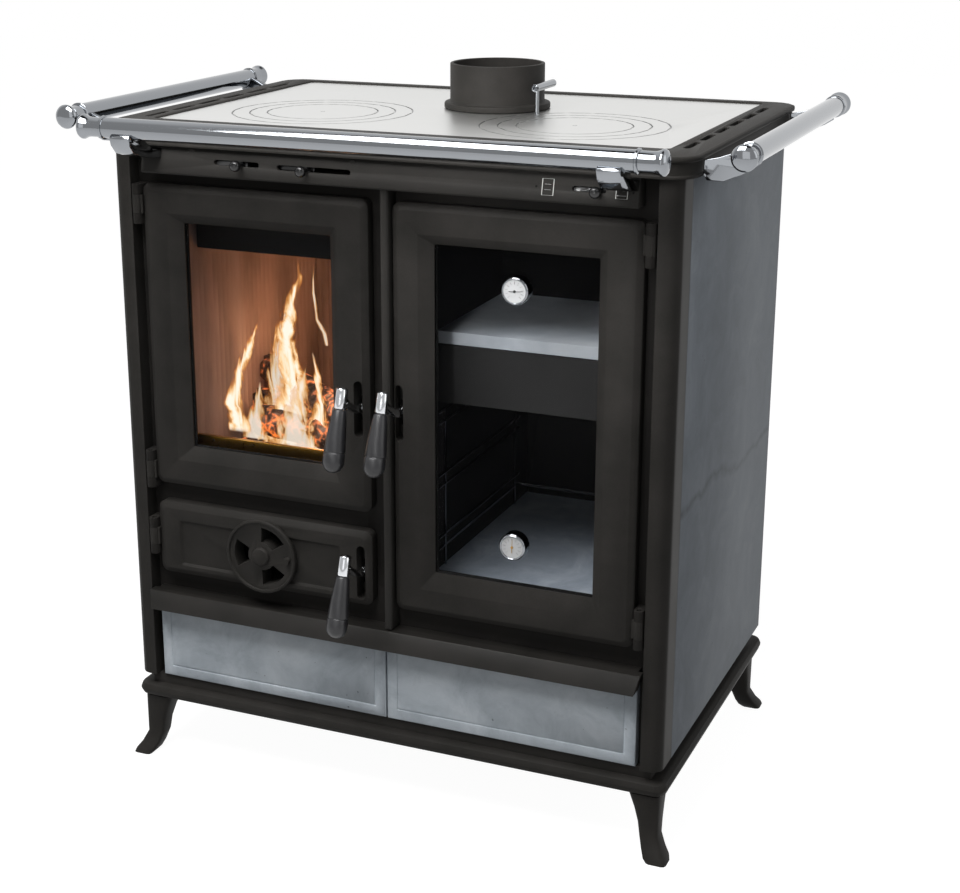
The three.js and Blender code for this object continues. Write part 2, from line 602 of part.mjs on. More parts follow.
// register wheel: disc with a raised rim, hub, three windows and a thumb tab
const wheelBack = yDoor - 2 - GAP;
const wheelFace = wheelBack - WHEEL_PLATE;
const wheelBody = turned('y', WHEEL_X, WHEEL_Z, [[0, wheelFace - 4], [WHEEL_HUB - 2, wheelFace - 4],
  [WHEEL_HUB, wheelFace - 2], [WHEEL_HUB, wheelFace], [WHEEL_R - WHEEL_RIM, wheelFace],
  [WHEEL_R - WHEEL_RIM + 0.7, wheelFace - 2.6], [WHEEL_R - 1.2, wheelFace - 2.6], [WHEEL_R, wheelFace - 1],
  [WHEEL_R, wheelBack], [WHEEL_PIN, wheelBack], [WHEEL_PIN, yDoor + 12], [0, yDoor + 12]], 24);
const tabOutline = [...arc(WHEEL_X + WHEEL_R - 12, WHEEL_Z, 4.5, -90, 90, 6),
  [WHEEL_X + WHEEL_R - 14, WHEEL_Z + 4.5], [WHEEL_X + WHEEL_R - 14, WHEEL_Z - 4.5]];
const tab = prism('y', tabOutline, wheelFace - 6, wheelFace + 1);
piece('air_wheel', cut(join(wheelBody, tab), ...fans(wheelFace - 5, wheelBack + 0.5)), castGrey,
  'register');

// ---- latches ----------------------------------------------------------------------------------
// plate lever on a cross pin; its ferrule hangs outwards and carries the grip
function curve(points, steps) {
  const knots = points.map(([u, v]) => new THREE.Vector3(u, v, 0));
  const path = new THREE.CatmullRomCurve3(knots, false, 'catmullrom', 0.5);
  return path.getPoints(steps).map((p, i) => ({ p, t: path.getTangent(i / steps) }));
}

for (const { door, x, z } of LATCHES) {
  const py = yDoor + LATCH_IN;
  const tipY = yDoor - LATCH_REACH;
  const tipZ = z + LATCH_RISE;
  const path = curve([[py, z], [py - 14, z + 2], [yDoor - 22, z + 9], [tipY + 5, z + LATCH_RISE - 14],
    [tipY, tipZ]], 7);
  const width = 4.6;
  const left = path.map(({ p, t }) => [p.x - t.y * width, p.y + t.x * width]);
  const right = path.map(({ p, t }) => [p.x + t.y * width, p.y - t.x * width]).reverse();
  const arm = prism('x', [...left, ...right], x - LATCH_PLATE / 2, x + LATCH_PLATE / 2);
  const eye = rod('x', py, z, 7.5, x - LATCH_PLATE / 2, x + LATCH_PLATE / 2, 14);
  const tail = prism('x', [[py, z - 5], [py + LATCH_NOSE - 3, z - 5], [py + LATCH_NOSE, z - 2],
    [py + LATCH_NOSE, z + 3], [py, z + 5]], x - LATCH_PLATE / 2, x + LATCH_PLATE / 2);
  const pin = rod('x', py, z, LATCH_PIN, x - LATCH_PIN_HALF, x + LATCH_PIN_HALF, 10);
  const hang = (profile) => solidOf(latheOf('z', 0, 0, profile, 12)
    .rotateX(rad(-LATCH_LEAN)).translate(x, tipY, tipZ));
  const ferrule = hang([[0, 5], [FERRULE_R - 2.5, 5], [FERRULE_R, 2.5], [FERRULE_R, -FERRULE_LONG + 2],
    [FERRULE_R - 1, -FERRULE_LONG], [0, -FERRULE_LONG]]);
  piece(`latch_lever_${door}`, join(arm, eye, tail, pin, ferrule), chrome, `${door}_latch`);
  const g0 = -FERRULE_LONG - GAP;
  const belly = g0 - GRIP_LONG + GRIP_R;
  const end = Array.from({ length: 5 }, (_, i) => {
    const a = rad(22.5 * i);
    return [i === 4 ? 0 : GRIP_R * Math.cos(a), belly - GRIP_R * Math.sin(a)];
  });
  const ring = g0 - 50;
  const neck = FERRULE_R + 0.6;
  const at = (s) => neck + (GRIP_R - neck) * Math.sin(((g0 - s) / (g0 - belly)) * (Math.PI / 2));
  const swell = [2, 15, 32].map((s) => [at(g0 - s), g0 - s]);
  const groove = [[at(ring) - 0.7, ring - 0.7], [at(ring) - 0.7, ring - 1.7]];
  const profile = [[0, g0], [at(g0) - 0.6, g0], ...swell, [at(ring), ring], ...groove,
    [at(ring - 2.4), ring - 2.4], ...end];
  piece(`latch_grip_${door}`, hang(profile), gripBlack, `${door}_latch`);
}

// ---- hob rim, hob, flue collar and by-pass lever ----------------------------------------------
const rimOutline = (inset) =>
  roundRect(inset - RIM_HALF, RIM_HALF - inset, yRim + inset, yRimBack - inset, RIM_CORNER - inset);
const bead = stack('z', [[zBead, rimOutline(1.5)], [zBead + 1.5, rimOutline(0)], [zRimTop - 3, rimOutline(0)],
  [zRimTop - 0.9, rimOutline(1.1)], [zRimTop, rimOutline(4)]]);
const apron = stack('z', [[zApron, rimOutline(RIM_BEAD_OUT)], [zBead + 1, rimOutline(RIM_BEAD_OUT)]]);
const step = stack('z', [[zApron, rimOutline(RIM_BEAD_OUT - 1.5)], [zApron + 3, rimOutline(RIM_BEAD_OUT - 1.5)],
  [zApron + 4.5, rimOutline(RIM_BEAD_OUT + 0.5)]]);
const under = prism('z', rimOutline(RIM_BEAD_OUT + RIM_WALL), zApron - 1, zHobUnder - GAP - RIM_WEB + 3);
const hobPocket = prism('z', roundRect(-HOB_HALF - GAP, HOB_HALF + GAP, yHob - GAP, yHobBack + GAP,
  HOB_CORNER + GAP), zHobUnder - GAP, zRimTop + 1);
const hobWindow = box(HOB_LEDGE - HOB_HALF, HOB_HALF - HOB_LEDGE, yHob + HOB_LEDGE, yHobBack - HOB_LEDGE,
  zApron - 1, zRimTop + 1);
const vents = [];
for (let i = 0; i < VENT_COUNT; i += 1) {
  const y = yRim + VENT_MID + (i - (VENT_COUNT - 1) / 2) * VENT_PITCH;
  for (const x of [-VENT_X, VENT_X]) {
    vents.push(prism('z', roundRect(x - VENT_WIDE / 2, x + VENT_WIDE / 2, y - VENT_LONG / 2, y + VENT_LONG / 2,
      VENT_WIDE * 0.35, 1), zApron - 1, zRimTop + 1));
  }
}
piece('hob_rim', cut(join(bead, apron, step), under, hobPocket, hobWindow, ...vents), castBlack);

const zoneY = yHob + ZONE_BACK;
const grooves = [];
for (const x of [-ZONE_X, ZONE_X]) {
  for (const r of ZONE_RADII) {
    grooves.push(cut(rod('z', x, zoneY, r + GROOVE / 2, HOB_HEIGHT - GROOVE_DEPTH, HOB_HEIGHT + 1, ZONE_SIDES),
      rod('z', x, zoneY, r - GROOVE / 2, HOB_HEIGHT - GROOVE_DEPTH - 1, HOB_HEIGHT + 2, ZONE_SIDES)));
  }
}
const hobSlab = prism('z', roundRect(-HOB_HALF, HOB_HALF, yHob, yHobBack, HOB_CORNER), zHobUnder, HOB_HEIGHT);
piece('hotplate', cut(hobSlab, ...grooves,
  rod('z', FLUE_X, flueY, FLUE_R - FLUE_WALL, zHobUnder - 1, HOB_HEIGHT + 1, 30),
  rod('z', LEVER_X, leverY, LEVER_ROD + GAP, zHobUnder - 1, HOB_HEIGHT + 1, 12)), steelTop);

const z0 = HOB_HEIGHT + GAP;
const collar = turned('z', FLUE_X, flueY, [[0, z0], [FLANGE_R - 1.5, z0], [FLANGE_R, z0 + 1.5],
  [FLANGE_R, z0 + FLANGE_THICK - 2], [FLANGE_R - 2, z0 + FLANGE_THICK], [FLUE_R + 3, z0 + FLANGE_THICK],
  [FLUE_R, z0 + FLANGE_THICK + 3], [FLUE_R, z0 + FLUE_HIGH - 1], [FLUE_R - 1, z0 + FLUE_HIGH], [0, z0 + FLUE_HIGH]],
30);
piece('flue_collar', cut(collar, rod('z', FLUE_X, flueY, FLUE_R - FLUE_WALL, z0 - 1, z0 + FLUE_HIGH + 1, 30)),
  castBlack);

const leverZ = HOB_HEIGHT + LEVER_HIGH;
const tube = cut(rod('y', LEVER_X, leverZ, LEVER_TUBE, leverY - LEVER_FRONT, leverY + LEVER_REAR, 16),
  rod('y', LEVER_X, leverZ, LEVER_BORE, leverY - LEVER_FRONT - 1, leverY - LEVER_FRONT + 5, 12));
const flapTop = zHobUnder - 4;
piece('bypass_lever', join(tube, rod('z', LEVER_X, leverY, LEVER_ROD, flapTop - FLAP_HIGH + 4, leverZ, 12),
  box(LEVER_X - FLAP_THICK / 2, LEVER_X + FLAP_THICK / 2, leverY - FLAP_LONG / 2, leverY + FLAP_LONG / 2,
    flapTop - FLAP_HIGH, flapTop)), chrome, 'bypass');

// ---- towel rails and their brackets -----------------------------------------------------------
// tube closed at each end by a ring, a neck and a flared cap
function railProfile(from, to) {
  const half = (to - from) / 2;
  const mid = (to + from) / 2;
  const end = [[0, 0], [RAIL_CAP * 0.6, 0.8], [RAIL_CAP, 5], [RAIL_CAP * 0.95, 9], [RAIL_NECK, 18],
    [RAIL_NECK, RAIL_END - 3.5], [RAIL_RING, RAIL_END - 3], [RAIL_RING, RAIL_END - 0.5], [RAIL_R, RAIL_END]];
  return [...end.map(([r, s]) => [r, mid - half + s]), ...end.map(([r, s]) => [r, mid + half - s]).reverse()];
}
piece('rail_front', turned('x', yRail, zRail, railProfile(-RAIL_FRONT_HALF, RAIL_FRONT_HALF), 16), chrome);
for (const [side, sx] of [['left', -1], ['right', 1]]) {
  piece(`rail_${side}`, turned('y', sx * railX, zRail, railProfile(yRim + 5, yRimBack), 16), chrome);
}

const frontSaddle = rod('x', yRail, zRail, RAIL_R + GAP, -RIM_HALF, RIM_HALF, 16);
const strap = [[panelFace(822) - GAP, 822], [yRim - 28, 827], [yRail - 3, 835], [yRail - 12, 845],
  [yRail - 14.5, 854], [yRail - 11, 858], [yRail, zRail], [yRail + 16, zRail - 4], [yRail + 24, 846],
  [yRim - 12, zApron - 3], [panelFace(zApron - 3) - GAP, zApron - 3]];
for (const [side, sx] of [['left', -1], ['right', 1]]) {
  const x = sx * BRACKET_FRONT_X;
  piece(`bracket_front_${side}`, cut(prism('x', strap, x - BRACKET_FRONT_W / 2, x + BRACKET_FRONT_W / 2),
    frontSaddle), chrome);
  const wall = RIM_HALF - RIM_BEAD_OUT + 1.5 + GAP;
  const plate = [[wall, zApron + 1], [wall + 4, zApron - 5], [railX - 30, zApron - 5], [railX - 8, zApron + 5],
    [railX + 3, zRail - 15], [railX, zRail], [railX - 15, zRail + 2], [railX - 36, zBead + 3],
    [RIM_HALF + GAP, zBead - GAP], [wall, zBead - GAP]];
  for (const [i, along] of BRACKET_SIDE_IN.entries()) {
    const y = yRim + along;
    const solid = cut(prism('y', plate.map(([u, v]) => [sx * u, v]), y, y + BRACKET_SIDE_T),
      rod('y', sx * railX, zRail, RAIL_R + GAP, y - 1, y + BRACKET_SIDE_T + 1, 16));
    piece(`bracket_${side}_${i === 0 ? 'front' : 'rear'}`, solid, chrome);
  }
}

// ---- firebox ----------------------------------------------------------------------------------
const shellFront = yInside + GAP;
const shellBack = shellFront + SHELL.deep;
const sw = SHELL.wall;
const grateY = [shellFront + GRATE.y0, shellFront + GRATE.y1];
piece('firebox_shell', cut(box(SHELL.x0, SHELL.x1, shellFront, shellBack, BODY_FLOOR + GAP, zBodyTop),
  box(SHELL.x0 + sw, SHELL.x1 - sw, shellFront - 1, shellBack - sw, FIRE_FLOOR, zBodyTop + 1),
  box(SHELL.x0 + sw, SHELL.x1 - sw, shellFront - 1, shellBack - sw, ASH_FLOOR, FIRE_FLOOR - sw),
  box(SHELL.x0 + sw, SHELL.x1 - sw, shellFront - 1, shellBack - sw, BODY_FLOOR - 1, ASH_FLOOR - sw),
  box(GRATE.x0 + 8, GRATE.x1 - 8, grateY[0] + 8, grateY[1] - 8, FIRE_FLOOR - sw - 1, FIRE_FLOOR + 1)), darkSteel);

const grateBars = [];
const barRoom = GRATE.x1 - GRATE.x0 - 24;
for (let i = 0; i < GRATE.bars; i += 1) {
  const x = GRATE.x0 + 12 + (barRoom * (i + 0.5)) / GRATE.bars;
  grateBars.push(box(x - 4.5, x + 4.5, grateY[0] + 14, grateY[1] - 14, FIRE_FLOOR - 1, FIRE_FLOOR + GRATE.thick + 2));
}
piece('grate', cut(box(GRATE.x0, GRATE.x1, grateY[0], grateY[1], FIRE_FLOOR + GAP, FIRE_FLOOR + GRATE.thick),
  ...grateBars), castBlack);

// ribbed lining panels: ribs stand upright, facing the fire
function ribbed(length) {
  const count = Math.floor(length / RIB_PITCH);
  const lead = (length - count * RIB_PITCH) / 2;
  const teeth = [];
  for (let i = 0; i < count; i += 1) {
    const s = lead + i * RIB_PITCH;
    teeth.push([s + RIB_PITCH * 0.1, LINING - RIB_DEEP], [s + RIB_PITCH * 0.5, LINING],
      [s + RIB_PITCH * 0.9, LINING - RIB_DEEP]);
  }
  return [[0, 0], [0, LINING - RIB_DEEP], ...teeth, [length, LINING - RIB_DEEP], [length, 0]];
}
const inL = SHELL.x0 + sw + GAP;
const inR = SHELL.x1 - sw - GAP;
const inB = shellBack - sw - GAP;
const sideLong = inB - LINING - GAP - shellFront;
const zLining = [FIRE_FLOOR + GAP, LINING_TOP];
piece('lining_back', prism('z', ribbed(inR - inL).map(([s, d]) => [inL + s, inB - d]), ...zLining), clay);
piece('lining_left', prism('z', ribbed(sideLong).map(([s, d]) => [inL + d, shellFront + s]), ...zLining), clay);
piece('lining_right', prism('z', ribbed(sideLong).map(([s, d]) => [inR - d, shellFront + s]), ...zLining), clay);

const baffleY = shellFront + BAFFLE.front;
piece('baffle', join(
  box(inL + 2, inR - 2, baffleY, baffleY + BAFFLE.deep, LINING_TOP + GAP, LINING_TOP + GAP + BAFFLE.thick),
  box(inL + LINING + 1, inR - LINING - 1, baffleY, baffleY + BAFFLE.thick, LINING_TOP - BAFFLE.lip, LINING_TOP + 1),
), darkSteel);
piece('log_guard', box(inL + LINING + GAP, inR - LINING - GAP, shellFront + 4, shellFront + 4 + GUARD.thick,
  GUARD.z0, GUARD.z1), brass);

const dz = ASH_FLOOR + GAP;
const drawerY = shellFront + 10;
const dw = DRAWER.wall;
const pull = prism('x', [[drawerY + 1, dz + DRAWER.high - 14], [drawerY - 9, dz + DRAWER.high - 12],
  [drawerY - 9, dz + DRAWER.high - 20], [drawerY - 6, dz + DRAWER.high - 20], [drawerY - 6, dz + DRAWER.high - 15],
  [drawerY + 1, dz + DRAWER.high - 18]], -210, -135);
piece('ash_drawer', join(cut(box(DRAWER.x0, DRAWER.x1, drawerY, drawerY + DRAWER.deep, dz, dz + DRAWER.high),
  box(DRAWER.x0 + dw, DRAWER.x1 - dw, drawerY + dw, drawerY + DRAWER.deep - dw, dz + dw, dz + DRAWER.high + 1)), pull),
darkSteel);

// ---- oven -------------------------------------------------------------------------------------
const ow = OVEN.wall;
const ovenBack = shellFront + OVEN.deep;
const upperBack = shellFront + OVEN.upperDeep;
const linerOut = box(OVEN.x0 - ow, OVEN.x1 + ow, shellFront, ovenBack + ow, OVEN.z0 - ow, OVEN.z1 + ow);
const linerIn = box(OVEN.x0, OVEN.x1, shellFront - 1, ovenBack, OVEN.z0, OVEN.z1);
const shelfZ = DUCT.high + GAP;
const upperWall = box(OVEN.x0 - 1, OVEN.x1 + 1, upperBack, upperBack + ow, shelfZ, OVEN.z1 + 1);
const smokeWay = box(OVEN.x0 + 30, OVEN.x1 - 30, ovenBack - 1, ovenBack + ow + 1, DUCT.low + 8, DUCT.high - 8);
const topWay = box(OVEN.x0 + 30, OVEN.x1 - 30, upperBack + ow + 10, ovenBack - 10, OVEN.z1 - 1, OVEN.z1 + ow + 1);
piece('oven_liner', cut(join(cut(linerOut, linerIn), upperWall), smokeWay, topWay), darkSteel);

const ductY = shellFront + DUCT.front;
const wd = DUCT.wall;
piece('oven_duct', cut(box(OVEN.x0 + GAP, OVEN.x1 - GAP, ductY, ovenBack - GAP, DUCT.low, DUCT.high),
  box(OVEN.x0 + wd, OVEN.x1 - wd, ductY + wd, ovenBack + 1, DUCT.low + wd, DUCT.high - wd)), darkSteel);
piece('oven_shelf_stone', box(OVEN.x0 + GAP, OVEN.x1 - GAP, ductY, upperBack - GAP, shelfZ, shelfZ + SHELF_STONE),
  stone);
piece('oven_floor_stone', box(OVEN.x0 + GAP, OVEN.x1 - GAP, shellFront, ovenBack - GAP, OVEN.z0 + GAP,
  OVEN.z0 + GAP + FLOOR_STONE), stone);

// runner wires on both side walls, tied by uprights and by cross wires at the back
const wires = [];
const wireX = [OVEN.x0 + GAP + WIRE_R, OVEN.x1 - GAP - WIRE_R];
const rackY = [shellFront + RACK_FRONT, shellFront + RACK_REAR];
for (const x of wireX) {
  for (const level of RACK_LEVELS) {
    for (const z of [level - RACK_PAIR, level + RACK_PAIR]) {
      wires.push(rod('y', x, z, WIRE_R, rackY[0], rackY[1], 6));
    }
  }
  for (const y of [rackY[0] + 24, rackY[1] - 14]) {
    wires.push(rod('z', x, y, WIRE_R, OVEN.z0 + 2 * GAP + FLOOR_STONE, RACK_LEVELS[2] + RACK_PAIR + WIRE_R, 6));
  }
}
for (const z of [RACK_LEVELS[0] - RACK_PAIR, RACK_LEVELS[2] + RACK_PAIR]) {
  wires.push(rod('x', rackY[1] - 2, z, WIRE_R, wireX[0], wireX[1], 6));
}
piece('oven_rack', join(...wires), wireSteel);

// ---- the scene: what turns or slides has a group at its pivot ----------------------------------
const pivots = {
  fire_leaf: ['stove', [-HINGE_X, hingeY, FIRE_DOOR.z0]],
  oven_leaf: ['stove', [HINGE_X, hingeY, OVEN_DOOR.z0]],
  ash_leaf: ['stove', [-HINGE_X, hingeY, ASH_DOOR.z0]],
  register: ['ash_leaf', [WHEEL_X, wheelBack, WHEEL_Z]],
  bypass: ['stove', [LEVER_X, leverY, leverZ]],
};
for (const { door, x, z } of LATCHES) {
  pivots[`${door}_latch`] = [`${door}_leaf`, [x, yDoor + LATCH_IN, z]];
}
for (const s of SLIDES) {
  pivots[`${s.name}_part`] = ['stove', [s.knob, yDoor, s.z]];
}

function geometryOf(solid) {
  const { vertProperties, triVerts } = solid.getMesh();
  const g = new THREE.BufferGeometry();
  g.setAttribute('position', new THREE.BufferAttribute(vertProperties, 3));
  return g.setIndex(Array.from(triVerts));
}

// the middle of the whole depth comes to zero
const made = pieces.map((entry) => ({ ...entry, geometry: geometryOf(entry.solid) }));
const whole = new THREE.Box3();
for (const { geometry } of made) {
  geometry.computeBoundingBox();
  whole.union(geometry.boundingBox);
}
const yMiddle = (whole.min.y + whole.max.y) / 2;

const group = new THREE.Group();
group.name = 'wood_cookstove';
const groups = { stove: new THREE.Group() };
groups.stove.name = 'stove';
groups.stove.position.set(0, -yMiddle, 0);
group.add(groups.stove);
const origin = { stove: new THREE.Vector3() };
for (const [body, [parent, at]] of Object.entries(pivots)) {
  origin[body] = new THREE.Vector3(...at);
  groups[body] = new THREE.Group();
  groups[body].name = body;
  groups[body].position.copy(origin[body]).sub(origin[parent]);
  groups[parent].add(groups[body]);
}
for (const { name, geometry, look, body } of made) {
  const local = geometry.translate(...origin[body].clone().negate().toArray());
  const mesh = new THREE.Mesh(mergeVertices(toCreasedNormals(local, rad(32))), look);
  mesh.name = name;
  groups[body].add(mesh);
}

export default group;
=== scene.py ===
import math
import random
import bpy
from mathutils import Matrix, Vector


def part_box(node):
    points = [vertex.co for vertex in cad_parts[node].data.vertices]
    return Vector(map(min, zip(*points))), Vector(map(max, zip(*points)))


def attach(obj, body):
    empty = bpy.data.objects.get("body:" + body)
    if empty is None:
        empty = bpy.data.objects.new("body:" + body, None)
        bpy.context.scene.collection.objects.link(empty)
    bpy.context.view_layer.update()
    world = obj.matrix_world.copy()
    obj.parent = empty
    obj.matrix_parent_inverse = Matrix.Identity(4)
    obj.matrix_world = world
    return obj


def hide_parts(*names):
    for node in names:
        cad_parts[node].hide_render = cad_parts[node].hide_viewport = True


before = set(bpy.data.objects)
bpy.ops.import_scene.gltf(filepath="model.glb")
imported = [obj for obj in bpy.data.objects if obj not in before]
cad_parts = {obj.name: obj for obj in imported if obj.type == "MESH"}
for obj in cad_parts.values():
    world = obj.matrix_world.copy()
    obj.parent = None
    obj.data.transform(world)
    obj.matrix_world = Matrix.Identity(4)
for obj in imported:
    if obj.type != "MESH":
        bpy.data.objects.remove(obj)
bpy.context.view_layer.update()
mm = 0.001
scene = bpy.context.scene
scene.view_settings.view_transform = "Standard"
made = {}
print("frame loaded, nodes:", len(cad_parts))


# colours are written as on screen and turned to linear here
def linear(hexCode, alpha=1.0):
    parts = [int(hexCode[i:i + 2], 16) / 255 for i in (1, 3, 5)]
    return tuple(c / 12.92 if c <= 0.04045 else ((c + 0.055) / 1.055) ** 2.4 for c in parts) + (alpha,)


def addNode(tree, kind, settings=None, links=None):
    node = tree.nodes.new(kind)
    for key, value in (settings or {}).items():
        if isinstance(key, str) and key not in node.inputs:
            setattr(node, key, value)
        else:
            node.inputs[key].default_value = value
    for key, source in (links or {}).items():
        tree.links.new(source, node.inputs[key])
    return node


def newMaterial(name):
    mat = bpy.data.materials.new(name)
    mat.use_nodes = True
    tree = mat.node_tree
    tree.nodes.clear()
    return mat, tree, addNode(tree, "ShaderNodeOutputMaterial")


def rampStops(node, stops):
    ramp = node.color_ramp
    while len(ramp.elements) < len(stops):
        ramp.elements.new(0.5)
    for element, (place, colour) in zip(ramp.elements, stops):
        element.position = place
        element.color = colour
    return node


# ---- materials ----
# heat-resistant stove paint sprayed on sand-cast iron: flat near-black, with the grain of the mould sand
# (real grain is about 0.4 mm; drawn at 1.3 mm so that it shows)
def stovePaint(name, dark, light, rough=0.5, grain=1.3, depth=0.3, shine=0.12):
    mat, tree, out = newMaterial(name)
    coord = addNode(tree, "ShaderNodeTexCoord")
    sand = addNode(tree, "ShaderNodeTexNoise", {"Scale": 1 / (grain * mm), "Detail": 3.0, "Roughness": 0.65},
                   {"Vector": coord.outputs["Object"]})
    cloud = addNode(tree, "ShaderNodeTexNoise", {"Scale": 1 / 0.07, "Detail": 5.0, "Roughness": 0.6},
                    {"Vector": coord.outputs["Object"]})
    both = addNode(tree, "ShaderNodeMath", {"operation": "MULTIPLY_ADD", 1: 0.45},
                   {0: sand.outputs[0], 2: cloud.outputs[0]})
    tone = addNode(tree, "ShaderNodeMapRange", {"From Min": 0.5, "From Max": 0.95},
                   {"Value": both.outputs[0]})
    colour = addNode(tree, "ShaderNodeMixRGB", {"Color1": linear(dark), "Color2": linear(light)},
                     {"Fac": tone.outputs[0]})
    gloss = addNode(tree, "ShaderNodeMapRange", {"To Min": rough - 0.07, "To Max": rough + 0.1},
                    {"Value": both.outputs[0]})
    bump = addNode(tree, "ShaderNodeBump", {"Strength": depth, "Distance": 0.0006},
                   {"Height": sand.outputs[0]})
    shader = addNode(tree, "ShaderNodeBsdfPrincipled", {"IOR": 1.5, "Specular IOR Level": shine},
                     {"Base Color": colour.outputs[0], "Roughness": gloss.outputs[0],
                      "Normal": bump.outputs[0]})
    tree.links.new(shader.outputs[0], out.inputs["Surface"])
    return mat


# honed soapstone: soft blue-grey clouds with darker flecks and small pits, dull to the touch;
# a seam is one long dark vein: a point on it, the direction across it, and its half width in mm
def soapstone(name, dark, mid, light, pits=0.5, seam=None):
    mat, tree, out = newMaterial(name)
    coord = addNode(tree, "ShaderNodeTexCoord")
    warp = addNode(tree, "ShaderNodeTexNoise", {"Scale": 1 / 0.1, "Detail": 3.0},
                   {"Vector": coord.outputs["Object"]})
    place = addNode(tree, "ShaderNodeMixRGB", {"blend_type": "ADD", "Fac": 0.07},
                    {"Color1": coord.outputs["Object"], "Color2": warp.outputs["Color"]})
    cloud = addNode(tree, "ShaderNodeTexNoise", {"Scale": 1 / 0.085, "Detail": 10.0, "Roughness": 0.66,
                                                  "Distortion": 0.5}, {"Vector": place.outputs[0]})
    tone = addNode(tree, "ShaderNodeValToRGB", {}, {"Fac": cloud.outputs[0]})
    rampStops(tone, [(0.28, linear(dark)), (0.5, linear(mid)), (0.74, linear(light))])
    fleck = addNode(tree, "ShaderNodeTexNoise", {"Scale": 1 / 0.011, "Detail": 6.0, "Roughness": 0.7},
                    {"Vector": place.outputs[0]})
    flecked = addNode(tree, "ShaderNodeMapRange",
                      {"From Min": 0.56, "From Max": 0.74, "To Min": 0.0, "To Max": 0.35},
                      {"Value": fleck.outputs[0]})
    last = addNode(tree, "ShaderNodeMixRGB", {"Color2": linear(dark)},
                   {"Fac": flecked.outputs[0], "Color1": tone.outputs[0]})
    if seam:
        off = addNode(tree, "ShaderNodeVectorMath", {"operation": "SUBTRACT", 1: seam["through"]},
                      {0: place.outputs[0]})
        across = addNode(tree, "ShaderNodeVectorMath", {"operation": "DOT_PRODUCT", 1: seam["across"]},
                         {0: off.outputs[0]})
        away = addNode(tree, "ShaderNodeMath", {"operation": "ABSOLUTE"}, {0: across.outputs["Value"]})
        line = addNode(tree, "ShaderNodeMapRange", {"From Min": 0.0, "From Max": seam["half"] * mm,
                                                    "To Min": seam["depth"], "To Max": 0.0},
                       {"Value": away.outputs[0]})
        patch = addNode(tree, "ShaderNodeMath", {"operation": "MULTIPLY"},
                        {0: line.outputs[0], 1: fleck.outputs[0]})
        last = addNode(tree, "ShaderNodeMixRGB", {"Color2": linear("#23282e")},
                       {"Fac": patch.outputs[0], "Color1": last.outputs[0]})
    pitNoise = addNode(tree, "ShaderNodeTexNoise", {"Scale": 1 / 0.0075, "Detail": 2.0},
                       {"Vector": coord.outputs["Object"]})
    pitDepthAndShade = addNode(tree, "ShaderNodeMapRange",
                  {"From Min": 0.72, "From Max": 0.77, "To Min": 0.0, "To Max": pits},
                  {"Value": pitNoise.outputs[0]})
    # the pits are darkened with #2c3136 as painted shade inside them, on top of the bump that sinks them
    pitsPaintedShade = addNode(tree, "ShaderNodeMixRGB", {"Color2": linear("#2c3136")},
                     {"Fac": pitDepthAndShade.outputs[0], "Color1": last.outputs[0]})
    grain = addNode(tree, "ShaderNodeTexNoise", {"Scale": 1 / 0.0018, "Detail": 2.0},
                    {"Vector": coord.outputs["Object"]})
    relief = addNode(tree, "ShaderNodeMath", {"operation": "SUBTRACT"},
                     {0: grain.outputs[0], 1: pitDepthAndShade.outputs[0]})
    bump = addNode(tree, "ShaderNodeBump", {"Strength": 0.16, "Distance": 0.0005},
                   {"Height": relief.outputs[0]})
    shader = addNode(tree, "ShaderNodeBsdfPrincipled",
                     {"IOR": 1.54, "Roughness": 0.6, "Specular IOR Level": 0.25},
                     {"Base Color": pitsPaintedShade.outputs[0], "Normal": bump.outputs[0]})
    tree.links.new(shader.outputs[0], out.inputs["Surface"])
    return mat


# bare metal: the fine marks of its finish run through the roughness only
def bareMetal(name, colour, rough, spread, grain):
    mat, tree, out = newMaterial(name)
    coord = addNode(tree, "ShaderNodeTexCoord")
    lines = addNode(tree, "ShaderNodeTexNoise", {"Scale": 1 / (grain * mm), "Detail": 4.0},
                    {"Vector": coord.outputs["Object"]})
    shine = addNode(tree, "ShaderNodeMapRange",
                    {"To Min": max(rough - spread, 0.02), "To Max": rough + spread},
                    {"Value": lines.outputs[0]})
    shader = addNode(tree, "ShaderNodeBsdfPrincipled", {"Base Color": linear(colour), "Metallic": 1.0},
                     {"Roughness": shine.outputs[0]})
    tree.links.new(shader.outputs[0], out.inputs["Surface"])
    return mat
